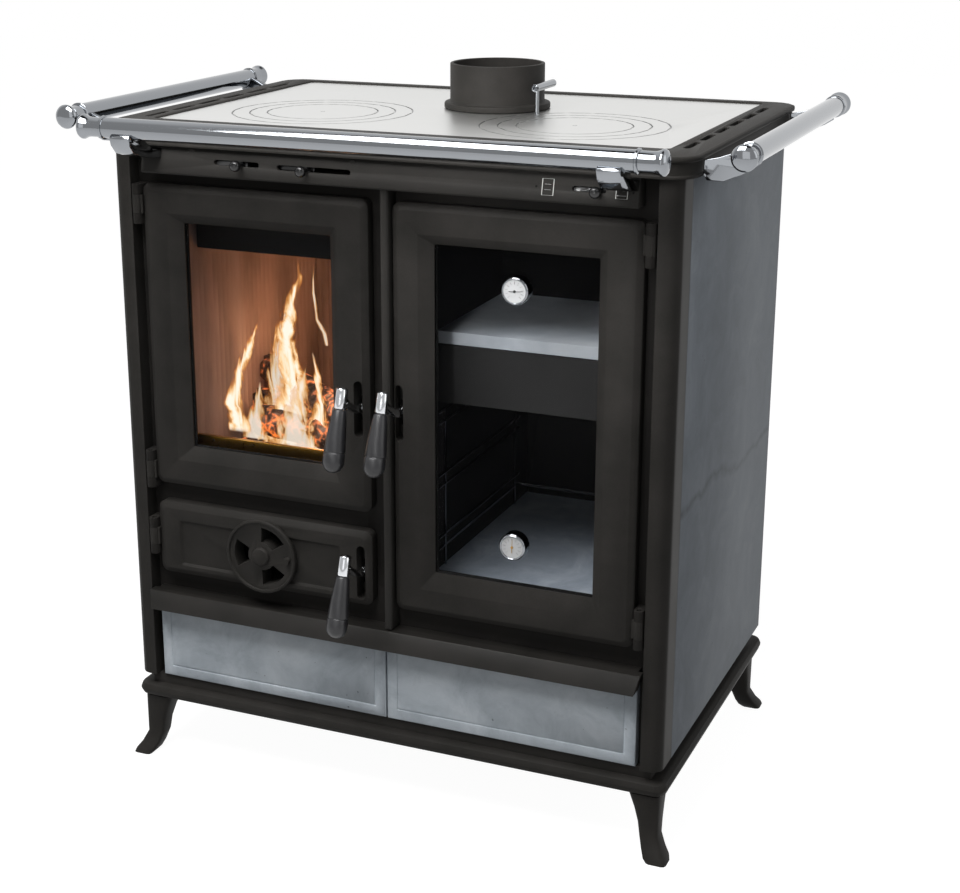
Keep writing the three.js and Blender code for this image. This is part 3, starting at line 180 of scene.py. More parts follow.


# ground stainless plate: marks of the belt run from left to right; the ring lines of the two cooking
# zones are grooves in the solid, drawn here as thin lines of painted shade (a darker metal colour) over a
# sunk bump, with a small ring at each centre
def hobPlateSteel(name, zones):
    mat, tree, out = newMaterial(name)
    coord = addNode(tree, "ShaderNodeTexCoord")
    place = addNode(tree, "ShaderNodeMapping", {"Scale": (1, 26, 1)}, {"Vector": coord.outputs["Object"]})
    lines = addNode(tree, "ShaderNodeTexNoise", {"Scale": 1 / 0.03, "Detail": 6.0},
                    {"Vector": place.outputs[0]})
    wipe = addNode(tree, "ShaderNodeTexNoise", {"Scale": 1 / 0.16, "Detail": 4.0},
                   {"Vector": coord.outputs["Object"]})
    mixed = addNode(tree, "ShaderNodeMath", {"operation": "MULTIPLY_ADD", 1: 0.5},
                    {0: lines.outputs[0], 2: wipe.outputs[0]})
    shine = addNode(tree, "ShaderNodeMapRange",
                    {"From Min": 0.4, "From Max": 1.1, "To Min": 0.27, "To Max": 0.42},
                    {"Value": mixed.outputs[0]})
    flat = addNode(tree, "ShaderNodeVectorMath", {"operation": "MULTIPLY", 1: (1, 1, 0)},
                   {0: coord.outputs["Object"]})
    away = [addNode(tree, "ShaderNodeVectorMath", {"operation": "DISTANCE", 1: (x * mm, zones["y"] * mm, 0)},
                    {0: flat.outputs[0]}).outputs["Value"] for x in zones["x"]]
    near = addNode(tree, "ShaderNodeMath", {"operation": "MINIMUM"}, {0: away[0], 1: away[1]})
    closest = None
    for radius in zones["rings"]:
        off = addNode(tree, "ShaderNodeMath", {"operation": "SUBTRACT", 1: radius * mm},
                      {0: near.outputs[0]})
        off = addNode(tree, "ShaderNodeMath", {"operation": "ABSOLUTE"}, {0: off.outputs[0]})
        closest = off if closest is None else addNode(tree, "ShaderNodeMath", {"operation": "MINIMUM"},
                                                      {0: off.outputs[0], 1: closest.outputs[0]})
    line = addNode(tree, "ShaderNodeMapRange",
                   {"From Min": zones["line"] * 0.45 * mm, "From Max": zones["line"] * mm,
                    "To Min": 1.0, "To Max": 0.0}, {"Value": closest.outputs[0]})
    # the darker metal colour on the ring lines is painted shade in the grooves
    colour = addNode(tree, "ShaderNodeMixRGB", {"Color1": linear("#dadad8"), "Color2": linear("#8b8c8c")},
                     {"Fac": line.outputs[0]})
    depth = addNode(tree, "ShaderNodeMath", {"operation": "MULTIPLY", 1: -1.0}, {0: line.outputs[0]})
    bump = addNode(tree, "ShaderNodeBump", {"Strength": 0.5, "Distance": 0.0008},
                   {"Height": depth.outputs[0]})
    shader = addNode(tree, "ShaderNodeBsdfPrincipled", {"Metallic": 1.0},
                     {"Base Color": colour.outputs[0], "Roughness": shine.outputs[0],
                      "Normal": bump.outputs[0]})
    tree.links.new(shader.outputs[0], out.inputs["Surface"])
    return mat


# flat glass ceramic: clear enough to see the chamber, mirror smooth with a faint wiped film
def stoveGlass(name, tint="#0b0b0c", alpha=0.1):
    mat, tree, out = newMaterial(name)
    coord = addNode(tree, "ShaderNodeTexCoord")
    smear = addNode(tree, "ShaderNodeTexNoise", {"Scale": 1 / 0.06, "Detail": 3.0},
                    {"Vector": coord.outputs["Object"]})
    rough = addNode(tree, "ShaderNodeMapRange", {"To Min": 0.01, "To Max": 0.05},
                    {"Value": smear.outputs[0]})
    shader = addNode(tree, "ShaderNodeBsdfPrincipled",
                     {"Base Color": linear(tint), "IOR": 1.47, "Alpha": alpha, "Specular IOR Level": 0.12},
                     {"Roughness": rough.outputs[0]})
    tree.links.new(shader.outputs[0], out.inputs["Surface"])
    return mat


# fired clay slabs: pale grey-brown, sooted in soft upright patches
def fireClay(name):
    mat, tree, out = newMaterial(name)
    coord = addNode(tree, "ShaderNodeTexCoord")
    place = addNode(tree, "ShaderNodeMapping", {"Scale": (1, 1, 0.3)}, {"Vector": coord.outputs["Object"]})
    soot = addNode(tree, "ShaderNodeTexNoise", {"Scale": 1 / 0.06, "Detail": 5.0},
                   {"Vector": place.outputs[0]})
    tone = addNode(tree, "ShaderNodeValToRGB", {}, {"Fac": soot.outputs[0]})
    rampStops(tone, [(0.3, linear("#75655f")), (0.55, linear("#a18c85")), (0.75, linear("#bca9a2"))])
    grit = addNode(tree, "ShaderNodeTexNoise", {"Scale": 1 / 0.0014, "Detail": 2.0},
                   {"Vector": coord.outputs["Object"]})
    bump = addNode(tree, "ShaderNodeBump", {"Strength": 0.2, "Distance": 0.0006},
                   {"Height": grit.outputs[0]})
    shader = addNode(tree, "ShaderNodeBsdfPrincipled", {"Roughness": 0.85, "Specular IOR Level": 0.2},
                     {"Base Color": tone.outputs[0], "Normal": bump.outputs[0]})
    tree.links.new(shader.outputs[0], out.inputs["Surface"])
    return mat


# moulded phenolic: black with a soft gloss and faint mottling
def phenolic(name, dark="#202022", light="#2c2c2e", rough=0.34, shine=0.4):
    mat, tree, out = newMaterial(name)
    coord = addNode(tree, "ShaderNodeTexCoord")
    mottle = addNode(tree, "ShaderNodeTexNoise", {"Scale": 1 / 0.004, "Detail": 3.0},
                     {"Vector": coord.outputs["Object"]})
    gloss = addNode(tree, "ShaderNodeMapRange", {"To Min": rough - 0.04, "To Max": rough + 0.06},
                    {"Value": mottle.outputs[0]})
    tone = addNode(tree, "ShaderNodeMixRGB", {"Color1": linear(dark), "Color2": linear(light)},
                   {"Fac": mottle.outputs[0]})
    shader = addNode(tree, "ShaderNodeBsdfPrincipled", {"IOR": 1.6, "Specular IOR Level": shine},
                     {"Base Color": tone.outputs[0], "Roughness": gloss.outputs[0]})
    tree.links.new(shader.outputs[0], out.inputs["Surface"])
    return mat


# printed enamel for marks and dial faces: flat, slightly uneven in thickness
def enamel(name, colour, rough=0.4):
    mat, tree, out = newMaterial(name)
    coord = addNode(tree, "ShaderNodeTexCoord")
    uneven = addNode(tree, "ShaderNodeTexNoise", {"Scale": 1 / 0.003, "Detail": 2.0},
                     {"Vector": coord.outputs["Object"]})
    value = addNode(tree, "ShaderNodeMapRange", {"To Min": 0.94, "To Max": 1.04},
                    {"Value": uneven.outputs[0]})
    tone = addNode(tree, "ShaderNodeHueSaturation", {"Color": linear(colour)}, {"Value": value.outputs[0]})
    shader = addNode(tree, "ShaderNodeBsdfPrincipled", {"Roughness": rough}, {"Base Color": tone.outputs[0]})
    tree.links.new(shader.outputs[0], out.inputs["Surface"])
    return mat


# burning wood: black char with grey ash on top and cracks that glow orange
def charredWood(name, glow=2.2):
    mat, tree, out = newMaterial(name)
    coord = addNode(tree, "ShaderNodeTexCoord")
    crack = addNode(tree, "ShaderNodeTexVoronoi", {"feature": "DISTANCE_TO_EDGE", "Scale": 1 / 0.011},
                    {"Vector": coord.outputs["Object"]})
    ash = addNode(tree, "ShaderNodeTexNoise", {"Scale": 1 / 0.02, "Detail": 6.0},
                  {"Vector": coord.outputs["Object"]})
    skin = addNode(tree, "ShaderNodeValToRGB", {}, {"Fac": ash.outputs[0]})
    rampStops(skin, [(0.3, linear("#1a1311")), (0.5, linear("#5a453b")), (0.68, linear("#b39c90"))])
    hot = addNode(tree, "ShaderNodeMapRange",
                  {"From Min": 0.0, "From Max": 0.2, "To Min": glow, "To Max": 0.0},
                  {"Value": crack.outputs["Distance"]})
    alive = addNode(tree, "ShaderNodeMapRange", {"From Min": 0.5, "From Max": 0.68},
                    {"Value": ash.outputs[0]})
    patch = addNode(tree, "ShaderNodeMath", {"operation": "MULTIPLY"},
                    {0: hot.outputs[0], 1: alive.outputs[0]})
    bump = addNode(tree, "ShaderNodeBump", {"Strength": 0.7, "Distance": 0.003},
                   {"Height": crack.outputs["Distance"]})
    shader = addNode(tree, "ShaderNodeBsdfPrincipled",
                     {"Roughness": 0.9, "Emission Color": linear("#ff7a2a")},
                     {"Base Color": skin.outputs[0], "Emission Strength": patch.outputs[0],
                      "Normal": bump.outputs[0]})
    tree.links.new(shader.outputs[0], out.inputs["Surface"])
    return mat


# flame: glowing gas, cream at the core and orange where it thins out, with fine upward streaks
def flameGas(name, strength=1.2, thick=1.0):
    mat, tree, out = newMaterial(name)
    coord = addNode(tree, "ShaderNodeTexCoord")
    uv = addNode(tree, "ShaderNodeSeparateXYZ", {}, {"Vector": coord.outputs["UV"]})
    place = addNode(tree, "ShaderNodeMapping", {"Scale": (1, 1, 0.34)}, {"Vector": coord.outputs["Object"]})
    streak = addNode(tree, "ShaderNodeTexNoise", {"Scale": 1 / 0.022, "Detail": 5.0, "Roughness": 0.55,
                                                   "Distortion": 1.6}, {"Vector": place.outputs[0]})
    side = addNode(tree, "ShaderNodeMath", {"operation": "SUBTRACT", 1: 0.5}, {0: uv.outputs["X"]})
    side = addNode(tree, "ShaderNodeMath", {"operation": "ABSOLUTE"}, {0: side.outputs[0]})
    core = addNode(tree, "ShaderNodeMath", {"operation": "MULTIPLY_ADD", 1: -2.0, 2: 1.0},
                   {0: side.outputs[0]})
    rise = addNode(tree, "ShaderNodeMath", {"operation": "POWER", 1: 1.5}, {0: uv.outputs["Y"]})
    body = addNode(tree, "ShaderNodeMath", {"operation": "MULTIPLY_ADD", 1: -0.62},
                   {0: rise.outputs[0], 2: core.outputs[0]})
    waver = addNode(tree, "ShaderNodeMath", {"operation": "MULTIPLY_ADD", 1: 2.3, 2: -1.08},
                    {0: streak.outputs[0]})
    heat = addNode(tree, "ShaderNodeMath", {"operation": "ADD"}, {0: body.outputs[0], 1: waver.outputs[0]})
    rim = addNode(tree, "ShaderNodeMapRange", {"From Min": 0.0, "From Max": 0.16},
                  {"Value": core.outputs[0]})
    tip = addNode(tree, "ShaderNodeMapRange",
                  {"From Min": 0.86, "From Max": 1.0, "To Min": 1.0, "To Max": 0.0},
                  {"Value": uv.outputs["Y"]})
    foot = addNode(tree, "ShaderNodeMapRange", {"From Min": 0.0, "From Max": 0.05},
                   {"Value": uv.outputs["Y"]})
    tint = addNode(tree, "ShaderNodeValToRGB", {}, {"Fac": heat.outputs[0]})
    rampStops(tint, [(0.05, linear("#b4551c")), (0.3, linear("#e39a4c")), (0.55, linear("#fbd3a0")),
                     (0.85, linear("#fff1df"))])
    veil = addNode(tree, "ShaderNodeMapRange", {"interpolation_type": "SMOOTHSTEP", "From Min": -0.05,
                                                 "From Max": 0.6, "To Min": 0.0, "To Max": thick},
                   {"Value": heat.outputs[0]})
    for edge in (rim, tip, foot):
        veil = addNode(tree, "ShaderNodeMath", {"operation": "MULTIPLY", "use_clamp": True},
                       {0: veil.outputs[0], 1: edge.outputs[0]})
    light = addNode(tree, "ShaderNodeEmission", {"Strength": strength}, {"Color": tint.outputs["Color"]})
    clear = addNode(tree, "ShaderNodeBsdfTransparent")
    mix = addNode(tree, "ShaderNodeMixShader", {},
                  {0: veil.outputs[0], 1: clear.outputs[0], 2: light.outputs[0]})
    tree.links.new(mix.outputs[0], out.inputs["Surface"])
    return mat


zoneBack = 147  # from the front edge of the hob, in mm
hobZones = {"x": (-172, 172), "y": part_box("hotplate")[0].y / mm + zoneBack,
            "rings": (116.5, 94, 71.5, 2.2), "line": 0.9}
castBlack = stovePaint("stovePaintBlackCastIron", "#242321", "#312f2d", shine=0.08)
castFrame = stovePaint("stovePaintBlackFrame", "#1d1c1b", "#282624", rough=0.55, shine=0.08)
castGrey = stovePaint("stovePaintGreyPanel", "#2f2e2c", "#393735", rough=0.5, depth=0.16, shine=0.1)
# the trim strip's paint is drawn darker than the black iron: painted shade on the low strip, where less
# light falls
stripPaintedShade = stovePaint("stovePaintTrimPaintedShade", "#1f1e1c", "#292725", rough=0.4, depth=0.1, shine=0.2)
stoneFront = soapstone("honedSoapstoneFront", "#99a1a9", "#b7bfc6", "#d0d6dc", 0.75)
# the side stones are the front's soapstone in darker colours: painted shade on the sides, which get less
# light than the front; the seam is a real vein
stoneSidePaintedShade = soapstone("honedSoapstoneSidePaintedShade", "#61676d", "#6d737a", "#7c8288", 0.35,
                      {"through": (0.366, 0.1, 0.459), "across": (0, 0.05, 0.998), "half": 9, "depth": 0.9})
stoneOven = soapstone("honedSoapstoneOven", "#7d8691", "#97a0ab", "#b4bcc6", 0.2)
stoneShelf = soapstone("honedSoapstoneShelf", "#b3bac3", "#c3cad2", "#d3d9df", 0.2)
hobSteel = hobPlateSteel("groundStainlessHob", hobZones)
chromePlate = bareMetal("polishedChromePlate", "#93969a", 0.1, 0.03, 6)
chromeLever = bareMetal("polishedChromeLever", "#dcdee1", 0.12, 0.03, 6)
brightWire = bareMetal("brightPlatedWire", "#a7a9ac", 0.2, 0.04, 3)
heatBrass = bareMetal("heatTintedBrass", "#b98a3c", 0.3, 0.08, 4)
darkSheet = stovePaint("blackedSheetSteel", "#131313", "#191919", rough=0.6, depth=0.05, shine=0.1)
linerSheet = stovePaint("blackedOvenLiner", "#070707", "#090909", rough=0.5, depth=0.0, shine=0.08)
ductSheet = stovePaint("blackEnamelledDuct", "#2c2c2c", "#323232", rough=0.45, depth=0.04)
gripBlack = phenolic("blackPhenolicGrip")
knobBlack = phenolic("blackPhenolicKnob", "#0e0e0f", "#151516", 0.22, 0.5)
glass = stoveGlass("clearGlassCeramic")
clay = fireClay("firedClayLining")
whiteMark = enamel("whitePrintedEnamel", "#c9c9c6")
dialWhite = enamel("whiteDialEnamel", "#c3c4c5")
needleBlack = enamel("blackNeedlePaint", "#1c1c1c")
needleBrass = bareMetal("brassNeedle", "#a9874d", 0.4, 0.05, 3)
charred = charredWood("charredBirchLogs")
ember = charredWood("glowingEmbers", 4.0)
flame = flameGas("flameGas", 1.35)
wisp = flameGas("flameWisp", 1.15, 0.8)
print("materials ready")


# ---- helpers for pieces ----
def deselectAll():
    if bpy.context.object and bpy.context.object.mode != "OBJECT":
        bpy.ops.object.mode_set(mode="OBJECT")
    bpy.ops.object.select_all(action="DESELECT")


def select(obj):
    deselectAll()
    obj.select_set(True)
    bpy.context.view_layer.objects.active = obj


def settle(obj):
    select(obj)
    bpy.ops.object.transform_apply(location=True, rotation=True, scale=True)


def applyModifiers(obj):
    select(obj)
    for modifier in list(obj.modifiers):
        bpy.ops.object.modifier_apply(modifier=modifier.name)


def bevelEdges(obj, width, segments=2, angle=35):
    modifier = obj.modifiers.new("edge", "BEVEL")
    modifier.width = width * mm
    modifier.segments = segments
    modifier.limit_method = "ANGLE"
    modifier.angle_limit = math.radians(angle)
    modifier.harden_normals = True
    modifier.use_clamp_overlap = True
    applyModifiers(obj)


def finishPiece(obj, name, body, mat, replaced=(), angle=32):
    obj.name = name
    obj.data.materials.clear()
    obj.data.materials.append(mat)
    select(obj)
    bpy.ops.object.shade_smooth_by_angle(angle=math.radians(angle))
    settle(obj)
    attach(obj, body)
    if replaced:
        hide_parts(*replaced)
    made[name] = obj
    return obj


# a CAD node copied, merged and given soft edges
def softCopy(node, mat, edge=0.8, segments=2, angle=32, body="stove", edgeAngle=35):
    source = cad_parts[node]
    obj = source.copy()
    obj.data = source.data.copy()
    for key in list(obj.keys()):
        if key.startswith("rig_"):
            del obj[key]
    scene.collection.objects.link(obj)
    obj.parent = None
    obj.matrix_world = Matrix.Identity(4)
    select(obj)
    bpy.ops.object.mode_set(mode="EDIT")
    bpy.ops.mesh.select_all(action="SELECT")
    bpy.ops.mesh.remove_doubles(threshold=0.00002)
    bpy.ops.mesh.dissolve_limited(angle_limit=math.radians(0.6))
    bpy.ops.object.mode_set(mode="OBJECT")
    if edge:
        bevelEdges(obj, edge, segments, edgeAngle)
    return finishPiece(obj, node + "_fine", body, mat, [node], angle)


# a body turned like on a lathe: the disc is extruded and resized ring by ring, sizes in mm
def turned(name, rings, body, mat, at=(0, 0, 0), axis="Z", sides=72, hollow=False, angle=32, replaced=(),
           turn=None):
    deselectAll()
    radius, along = rings[0]
    bpy.ops.mesh.primitive_circle_add(vertices=sides, radius=radius * mm, location=(0, 0, along * mm),
                                      fill_type="NOTHING" if hollow else "NGON")
    obj = bpy.context.object
    bpy.ops.object.mode_set(mode="EDIT")
    bpy.ops.mesh.select_all(action="SELECT")
    for nextRadius, nextAlong in rings[1:]:
        bpy.ops.mesh.extrude_region_move(TRANSFORM_OT_translate={"value": (0, 0, (nextAlong - along) * mm)})
        grow = nextRadius / radius
        bpy.ops.transform.resize(value=(grow, grow, 1), center_override=(0, 0, nextAlong * mm))
        radius, along = nextRadius, nextAlong
    bpy.ops.mesh.select_all(action="SELECT")
    bpy.ops.mesh.remove_doubles(threshold=0.00001)
    bpy.ops.mesh.normals_make_consistent(inside=False)
    bpy.ops.object.mode_set(mode="OBJECT")
    settle(obj)
    turns = {"X": (0, math.pi / 2, 0), "Y": (math.pi / 2, 0, 0), "Z": (0, 0, 0)}
    obj.rotation_euler = turns[axis]
    settle(obj)
    if turn:
        obj.rotation_euler = turn
    obj.location = Vector(at)
    settle(obj)
    return finishPiece(obj, name, body, mat, replaced, angle)


# a slim straight bar between two places in metres, narrowed towards its far end
def bar(name, start, end, wide, thick, body, mat, narrow=1.0, edge=0.2):
    start, end = Vector(start), Vector(end)
    deselectAll()
    bpy.ops.mesh.primitive_cube_add(size=1)
    obj = bpy.context.object
    obj.scale = (wide * mm, thick * mm, (end - start).length)
    settle(obj)
    for vertex in obj.data.vertices:
        if vertex.co.z > 0:
            vertex.co.x *= narrow
    if edge:
        bevelEdges(obj, edge, 2, 40)
    obj.rotation_mode = "QUATERNION"
    obj.rotation_quaternion = (end - start).to_track_quat("Z", "Y")
    obj.location = (start + end) / 2
    settle(obj)
    return finishPiece(obj, name, body, mat)


def joined(name, parts, body, mat):
    deselectAll()
    for part in parts:
        made.pop(part.name, None)
        part.select_set(True)
    bpy.context.view_layer.objects.active = parts[0]
    bpy.ops.object.join()
    return finishPiece(bpy.context.object, name, body, mat)


def middle(node):
    low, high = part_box(node)
    return (low + high) / 2


# where a line straight from the front meets a piece's face
def onFront(name, x, z):
    hit, place, normal, index = made[name].ray_cast(Vector((x * mm, -1, z * mm)), Vector((0, 1, 0)))
    return place


# ---- iron, stone and sheet pieces taken over from the frame ----
takenOver = {
    "base_plinth": (castBlack, 1.2, 3), "front_frame": (castFrame, 0.6, 2),
    "control_panel": (castGrey, 1.0, 3),
    "trim_strip": (stripPaintedShade, 0.6, 2), "post_left": (castBlack, 0.8, 2), "post_right": (castBlack, 0.8, 2),
    "side_stone_left": (stoneSidePaintedShade, 0.6, 2), "side_stone_right": (stoneSidePaintedShade, 0.6, 2),
    "front_stone_left": (stoneFront, 0.6, 2), "front_stone_right": (stoneFront, 0.6, 2),
    "back_panel": (darkSheet, 0.4, 1), "hob_rim": (castBlack, 0.6, 2), "grate": (castBlack, 1.0, 2),
    "log_guard": (heatBrass, 0.6, 2), "ash_drawer": (darkSheet, 0.4, 1), "oven_liner": (linerSheet, 0, 1),
    "firebox_shell": (darkSheet, 0, 1), "baffle": (darkSheet, 0.4, 1), "oven_duct": (ductSheet, 0.6, 2),
    "oven_shelf_stone": (stoneShelf, 0.8, 2), "oven_floor_stone": (stoneOven, 0.8, 2),
    "lining_back": (clay, 0, 1), "lining_left": (clay, 0, 1), "lining_right": (clay, 0, 1),
    "oven_rack": (brightWire, 0, 1), "bracket_front_left": (chromePlate, 1.0, 3),
    "bracket_front_right": (chromePlate, 1.0, 3), "bracket_left_front": (chromePlate, 0.8, 3),
    "bracket_left_rear": (chromePlate, 0.8, 3), "bracket_right_front": (chromePlate, 0.8, 3),
    "bracket_right_rear": (chromePlate, 0.8, 3),
}
for node, (mat, edge, segments) in takenOver.items():
    softCopy(node, mat, edge, segments)
for door in ("fire", "oven", "ash"):
    leaf = f"{door}_door_leaf"
    softCopy(f"{door}_door", castBlack, 1.5, 3, 20, leaf, 25)
    softCopy(f"latch_lever_{door}", chromeLever, 0.5, 2, body=f"{door}_latch")
for door in ("fire", "oven"):
    softCopy(f"{door}_glass", glass, 0, body=f"{door}_door_leaf")
    softCopy(f"{door}_glass_clip", darkSheet, 0.3, 1, body=f"{door}_door_leaf")
softCopy("air_wheel", castBlack, 0.5, 2, body="air_register")
softCopy("bypass_lever", chromePlate, 0.2, 1, body="bypass")
print("iron, stone and sheet pieces ready")

# ---- feet ----
for node in ("foot_front_left", "foot_front_right", "foot_rear_left", "foot_rear_right"):
    softCopy(node, castBlack, 0, angle=50)
print("feet ready")

# ---- towel rails: tube, ring, neck and flared cap ----
rail = {"radius": 12.5, "ring": 14.2, "neck": 11.8, "cap": 15.0, "end": 37.0}


def railRings(half):
    end = [(1.0, 0), (6, 0.5), (10.5, 1.7), (13.6, 3.6), (rail["cap"], 6), (rail["cap"], 7.5),
           (rail["cap"] * 0.96, 9), (12.8, 12), (12.1, 15), (rail["neck"], 18),
           (rail["neck"], rail["end"] - 4.2), (13, rail["end"] - 4), (rail["ring"], rail["end"] - 3.2),
           (rail["ring"], rail["end"] - 1.0), (13.4, rail["end"] - 0.2), (rail["radius"], rail["end"])]
    return [(r, s - half) for r, s in end] + [(r, half - s) for r, s in reversed(end)]


for node, axis in (("rail_front", "X"), ("rail_left", "Y"), ("rail_right", "Y")):
    low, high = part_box(node)
    half = max(high - low) / 2 / mm
    turned(node + "_fine", railRings(half), "stove", chromePlate, (low + high) / 2, axis, replaced=[node])
print("rails ready")

# ---- flue collar ----
collar = {"wall": 4.5, "flange": 7.6, "flangeHigh": 8.0}
low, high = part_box("flue_collar")
rOut = (high.x - low.x) / 2 / mm
tall = (high.z - low.z) / mm
rPipe = rOut - collar["flange"]
rIn = rPipe - collar["wall"]
flueRings = [
    (rIn, 0), (rOut - 1.5, 0), (rOut, 1.5), (rOut, collar["flangeHigh"] - 2),
    (rOut - 0.8, collar["flangeHigh"] - 0.6), (rOut - 2.4, collar["flangeHigh"]),
    (rPipe + 3, collar["flangeHigh"]), (rPipe + 1, collar["flangeHigh"] + 1),
    (rPipe, collar["flangeHigh"] + 3), (rPipe, tall - 1.2), (rPipe - 0.4, tall - 0.3),
    (rPipe - 1.3, tall), (rIn + 0.8, tall), (rIn, tall - 0.8), (rIn, 0)]
flueAt = Vector((middle("flue_collar").x, middle("flue_collar").y, low.z))
turned("flue_collar_fine", flueRings, "stove", castBlack, flueAt, sides=96, hollow=True,
       replaced=["flue_collar"])
print("flue collar ready")

# ---- latch grips and air knobs ----
for door in ("fire", "oven", "ash"):
    softCopy(f"latch_grip_{door}", gripBlack, 0.3, 2, body=f"{door}_latch", angle=40)
for node, body in (("air_slider_primary", "primary_air"), ("air_slider_secondary", "secondary_air"),
                   ("oven_selector", "oven_damper")):
    softCopy(node, knobBlack, 0.3, 2, body=body, angle=50)
print("grips and knobs ready")

# ---- hob ----
softCopy("hotplate", hobSteel, 0, angle=30)
print("hob ready")

# ---- oven thermometers: case, chrome bezel, white face with marks, and a needle ----
dial = {"bezel": 3.0, "sunk": 1.6, "needle": 1.7, "hub": 3.2, "marks": 11, "markLong": 3.4}
for node, needleMat, heading in (("thermometer_upper", needleBlack, 86),
                                 ("thermometer_lower", needleBrass, 2)):
    low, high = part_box(node)
    centre = (low + high) / 2
    radius = (high.x - low.x) / 2 / mm
    deep = (high.y - low.y) / mm
    front = Vector((centre.x, low.y, centre.z))
    mouth, floorAt = radius - dial["bezel"], -dial["sunk"]
    turned(node + "_case", [(0.5, -deep), (radius - 1, -deep), (radius, 1 - deep), (radius, -2.2),
                            (radius - 0.4, -1.4), (radius - 1.4, -0.5), (radius - 1.9, 0), (mouth + 0.4, 0),
                            (mouth, -0.4), (mouth, floorAt), (0.5, floorAt)],
           "oven_door_leaf", chromePlate, front, "Y", 96, replaced=[node])
    face = mouth - 0.1
    turned(node + "_face", [(0.5, floorAt - 0.6), (face, floorAt - 0.6), (face, floorAt + 0.1),
                            (face - 0.3, floorAt + 0.3), (0.5, floorAt + 0.3)],
           "oven_door_leaf", dialWhite, front, "Y", 96)
    outer = face - 2.2
    flatY = low.y + (dial["sunk"] - 0.45) * mm
    marks = []
    for step in range(dial["marks"]):
        turn = math.radians(-135 + 270 * step / (dial["marks"] - 1))
        way = Vector((math.sin(turn), 0, math.cos(turn)))
        spot = Vector((centre.x, flatY, centre.z))
        marks.append(bar(f"mark{step}", spot + way * (outer - dial["markLong"]) * mm,
                         spot + way * outer * mm, 0.5, 0.16, "oven_door_leaf", needleBlack, edge=0))
    joined(node + "_marks", marks, "oven_door_leaf", needleBlack)
    aim = math.radians(heading)
    way = Vector((math.sin(aim), 0, math.cos(aim)))
    spot = Vector((centre.x, low.y + 0.95 * mm, centre.z))
    bar(node + "_needle", spot - way * 7 * mm, spot + way * (outer - 1.5) * mm, dial["needle"], 0.4,
        "oven_door_leaf", needleMat, 0.4, 0.1)
    hub = dial["hub"] / 2
    turned(node + "_hub", [(0.4, -1.3), (hub, -1.3), (hub, -0.55), (hub - 0.4, -0.3), (0.4, -0.3)],
           "oven_door_leaf", needleMat, front, "Y", 32)
print("thermometers ready")

# ---- marks and screws on the panel ----
mark = {"line": 0.9, "thick": 0.16}


def outline(name, x0, x1, z0, z1):
    corners = [(x0, z0), (x1, z0), (x1, z1), (x0, z1)]
    sides = []
    for step in range(4):
        (xa, za), (xb, zb) = corners[step], corners[(step + 1) % 4]
        sides.append(markLine(f"{name}{step}", xa, za, xb, zb))
    return sides


def markLine(name, xa, za, xb, zb, wide=mark["line"]):
    lift = Vector((0, -mark["thick"] * 0.3 * mm, 0))
    start, end = onFront("control_panel_fine", xa, za) + lift, onFront("control_panel_fine", xb, zb) + lift
    return bar(name, start, end, wide, mark["thick"], "stove", whiteMark, edge=0)


left = {"x0": 205.9, "x1": 219.3, "z0": 811, "z1": 829}
right = {"x0": 292.6, "x1": 305.7, "z0": 812.6, "z1": 827.2}
parts = outline("markA", **left)
for step in (1, 2):
    high = left["z0"] + (left["z1"] - left["z0"]) * step / 3
    parts.append(markLine(f"markRow{step}", left["x0"] + 3, high, left["x1"] - 3, high, 1.6))
joined("panel_mark_left", parts, "stove", whiteMark)
parts = outline("markB", **right)
fillHigh = right["z0"] + 3.6
parts.append(markLine("markFill", right["x0"] + 1, fillHigh, right["x1"] - 1, fillHigh, 6.4))
joined("panel_mark_right", parts, "stove", whiteMark)
screws = {"wide": [(-249, 831.5), (-31.6, 831.5)], "small": [(198.9, 819.8), (312.3, 819.7)]}
for size, radius, mat in (("wide", 4.4, castGrey), ("small", 1.5, darkSheet)):
    for step, (x, z) in enumerate(screws[size]):
        spot = onFront("control_panel_fine", x, z)
        turned(f"panel_screw_{size}_{step}",
               [(0.3, -1.2), (radius, -1.2), (radius, -0.15), (radius - 0.35, 0.25), (radius * 0.3, 0.35),
                (0.3, 0.1)], "stove", mat, spot, "Y", 40)
print("panel marks and screws ready")

# ---- the camera's place, also used to lay out the flames ----
view = {"place": (0.8982, -2.0832, 1.1649), "yaw": 23.711, "pitch": 17.153, "roll": -0.178,
        "lens": 67.22, "shiftX": 0.0443, "shiftY": -0.0306}
firePlane = -57.0  # the flames were measured on this plane, in mm


# a point measured on the fire's plane, moved along the line of sight to another depth
def seenAt(x, z, depth):
    eye = Vector(view["place"])
    point = Vector((x, firePlane, z)) * mm
    share = (depth * mm - eye.y) / (point.y - eye.y)
    return eye + (point - eye) * share


